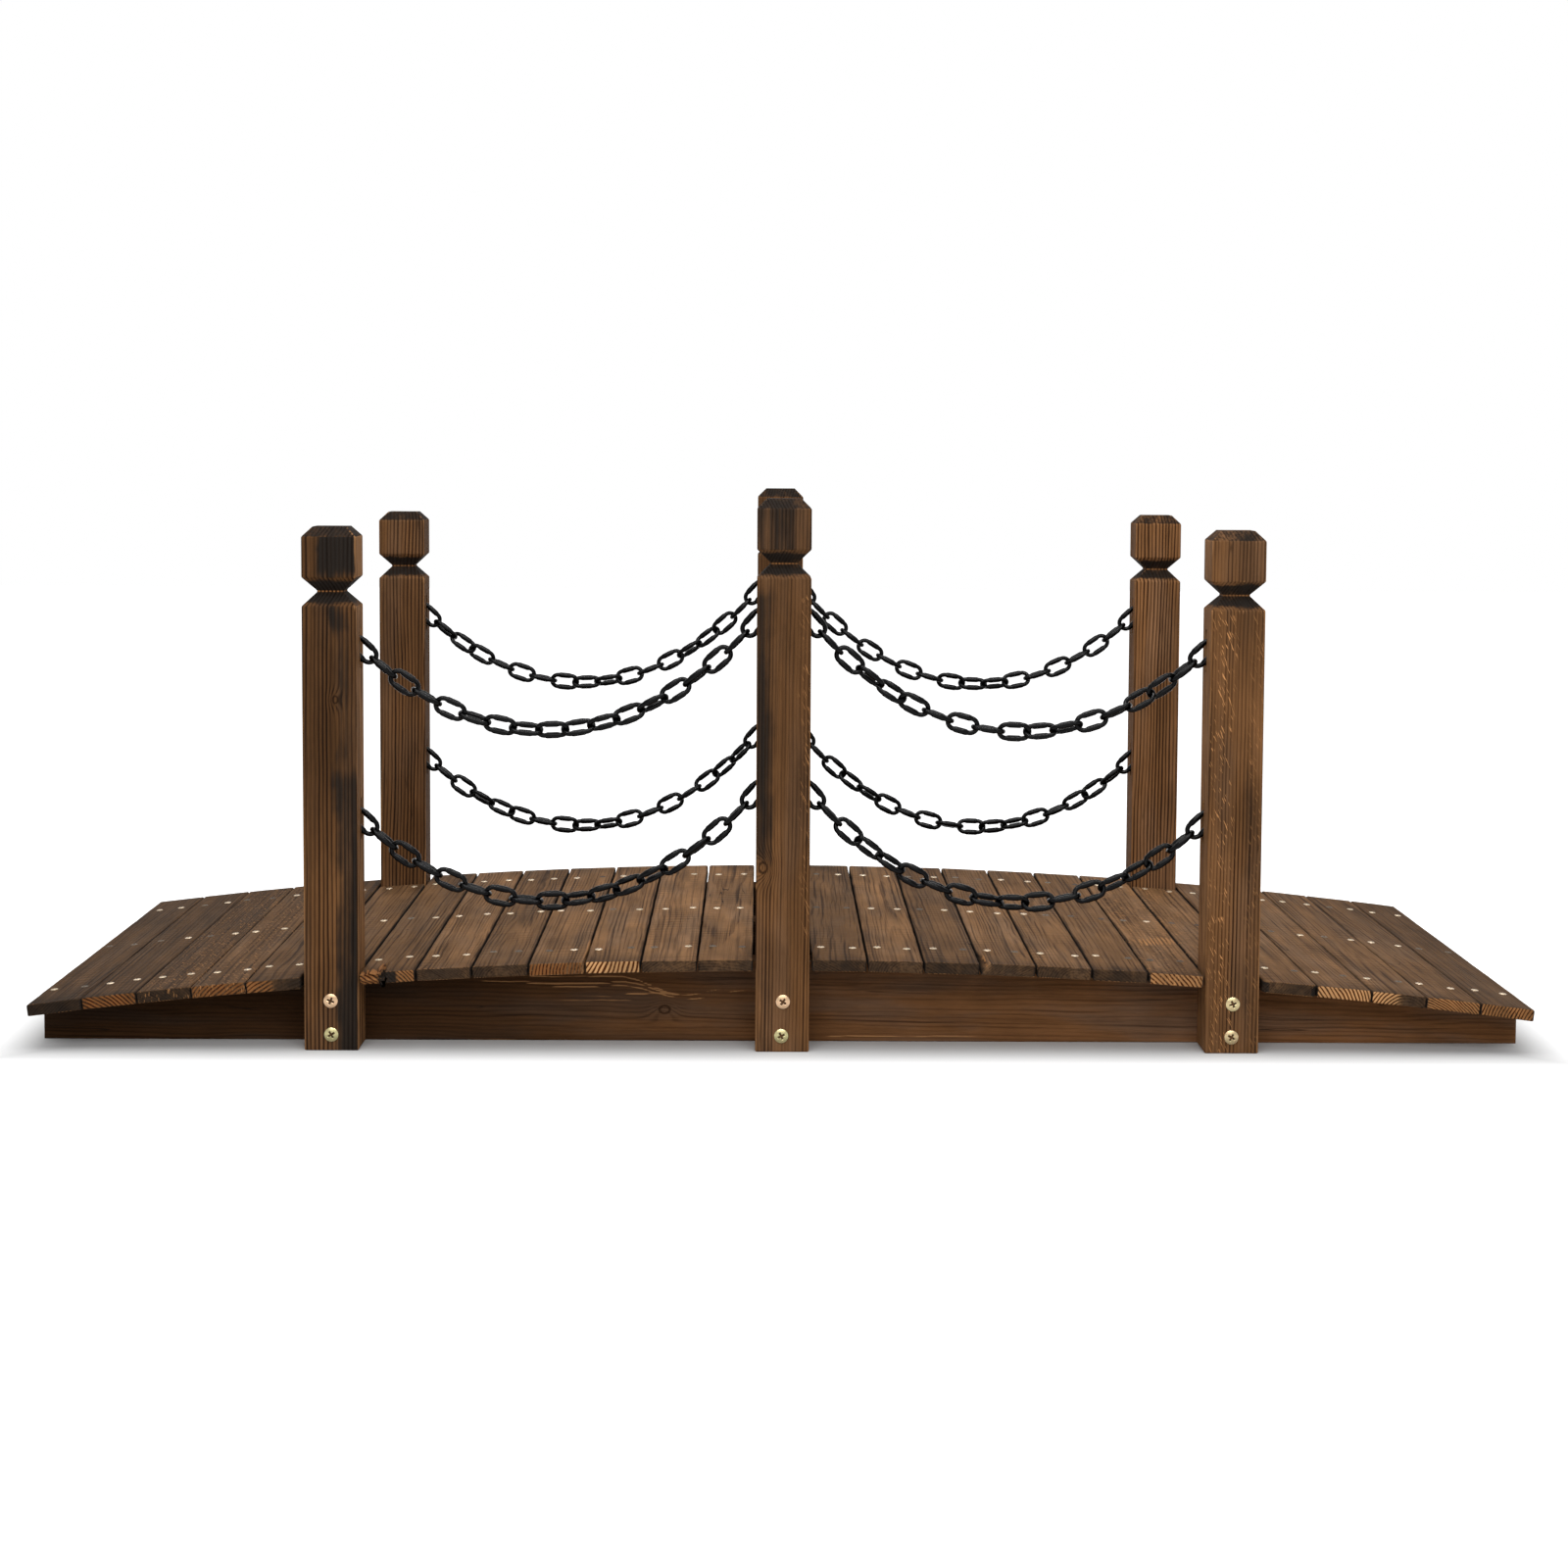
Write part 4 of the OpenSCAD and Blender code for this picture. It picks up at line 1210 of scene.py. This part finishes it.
class FOOTBRIDGE_OT_stage(bpy.types.Operator):
    """Set up the pale floor, the soft light and the camera"""
    bl_idname = "footbridge.stage"
    bl_label = "Stage"

    def execute(self, context):
        stage = settings("stage")
        scene = context.scene
        scene.view_settings.view_transform = "Standard"
        make_floor()
        make_sky(stage.sky)
        for softbox, power in zip(SOFTBOXES, (stage.overhead, stage.front, stage.strip)):
            lamp = add_softbox(*softbox, power)
            # The strip only draws glints
            lamp.visible_diffuse = lamp.name != "strip_lamp"
        lens = bpy.data.cameras.new("camera")
        lens.lens, lens.sensor_width, lens.shift_y = stage.lens, 36.0, stage.rise
        camera = bpy.data.objects.new("camera", lens)
        camera.matrix_world = (
            Matrix.Translation(stage.eye) @ Matrix.Rotation(-stage.yaw, 4, "Z")
            @ Matrix.Rotation(math.pi / 2 - stage.pitch, 4, "X") @ Matrix.Rotation(stage.roll, 4, "Z"))
        scene.collection.objects.link(camera)
        scene.camera = camera
        return {"FINISHED"}


def make_floor():
    """A square of pale floor that keeps the shadow near the bridge and turns to the white of the sky further out."""
    mesh = bpy.data.meshes.new("floor")
    corners = [(x * FLOOR_REACH, y * FLOOR_REACH, 0) for x, y in ((-1, -1), (1, -1), (1, 1), (-1, 1))]
    mesh.from_pydata(corners, [], [(0, 1, 2, 3)])
    material, sheet, shader = plain_material("pale_floor")
    shader["Base Color"].default_value = (0.62, 0.62, 0.62, 1)
    shader["Roughness"].default_value = 1.0
    shader["Specular IOR Level"].default_value = 0.0
    shader["Emission Color"].default_value = (1, 1, 1, 1)
    seen = sheet.seen("Is Camera Ray", "Is Glossy Ray")
    x, y, _ = sheet.split(sheet.out("TexCoord", output="Object"))
    past_end = sheet.math("ABSOLUTE", x) + sheet.math("MAXIMUM", y, 0.0) * SHADOW_NARROWS - SHADOW_X
    past_side = sheet.math("MAXIMUM", SHADOW_NEAR - y, y - SHADOW_FAR)
    far = sheet.math("MAXIMUM", past_end, past_side).step(0.0, SHADOW_FADE)
    sheet.wire(seen * far, shader["Emission Strength"])
    mesh.materials.append(material)
    floor = bpy.data.objects.new("floor", mesh)
    bpy.context.scene.collection.objects.link(floor)
    floor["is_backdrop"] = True


def make_sky(strength):
    """Even light from all sides, which the camera and shiny surfaces see as plain white."""
    world = bpy.data.worlds.new("studio")
    world.use_nodes = True
    sheet = NodeSheet(world.node_tree)
    background = next(node for node in world.node_tree.nodes if node.type == "BACKGROUND")
    seen = sheet.seen("Is Camera Ray", "Is Glossy Ray", "Is Transmission Ray")
    background.inputs["Color"].default_value = (1, 1, 1, 1)
    sheet.wire(strength + seen * (1 - strength), background.inputs["Strength"])
    bpy.context.scene.world = world


def add_softbox(name, place, aim, size, power):
    """A large rectangular lamp at place that faces aim."""
    lamp = bpy.data.lights.new(name, "AREA")
    lamp.shape, lamp.size, lamp.size_y, lamp.energy = "RECTANGLE", size[0], size[1], power
    softbox = bpy.data.objects.new(name, lamp)
    back = np.array(place) - np.array(aim)
    back /= np.linalg.norm(back)
    right = np.cross((0, 1, 0) if abs(back[2]) > 0.95 else (0, 0, 1), back)
    right /= np.linalg.norm(right)
    turn = Matrix(np.stack([right, np.cross(back, right), back], axis=1).tolist()).to_4x4()
    softbox.matrix_world = Matrix.Translation(place) @ turn
    bpy.context.scene.collection.objects.link(softbox)
    return softbox


class FOOTBRIDGE_PT_panel(bpy.types.Panel):
    """Lists the footbridge's pieces and their settings"""
    bl_label = "Footbridge"
    bl_space_type = "VIEW_3D"
    bl_region_type = "UI"
    bl_category = "Footbridge"

    def draw(self, context):
        for operator in OPERATORS:
            self.layout.operator(operator.bl_idname)
        for name, group in GROUPS.items():
            box = self.layout.box()
            box.label(text=name.title())
            for prop in group.__annotations__:
                box.prop(settings(name), prop)


GROUPS = {"deck": DeckSettings, "joist": JoistSettings, "post": PostSettings, "finish": FinishSettings,
          "screw": ScrewSettings, "stage": StageSettings}
OPERATORS = (FOOTBRIDGE_OT_planks, FOOTBRIDGE_OT_joists, FOOTBRIDGE_OT_posts, FOOTBRIDGE_OT_chains,
             FOOTBRIDGE_OT_deck_screws, FOOTBRIDGE_OT_post_screws, FOOTBRIDGE_OT_stage)


def register():
    for name, group in GROUPS.items():
        bpy.utils.register_class(group)
        setattr(bpy.types.Scene, "footbridge_" + name, PointerProperty(type=group))
    for part in (*OPERATORS, FOOTBRIDGE_PT_panel):
        bpy.utils.register_class(part)


def unregister():
    for part in reversed((*OPERATORS, FOOTBRIDGE_PT_panel)):
        bpy.utils.unregister_class(part)
    for name, group in reversed(GROUPS.items()):
        delattr(bpy.types.Scene, "footbridge_" + name)
        bpy.utils.unregister_class(group)


def main():
    register()
    bpy.ops.footbridge.planks()
    bpy.ops.footbridge.joists()
    bpy.ops.footbridge.posts()
    bpy.ops.footbridge.chains()
    bpy.ops.footbridge.deck_screws()
    bpy.ops.footbridge.post_screws()
    bpy.ops.footbridge.stage()
    boxes = {"cad": CAD_BOX, "visual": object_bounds()}
    {name: [list(corner) for corner in box] for name, box in boxes.items()}


if __name__ == "__main__":
    main()
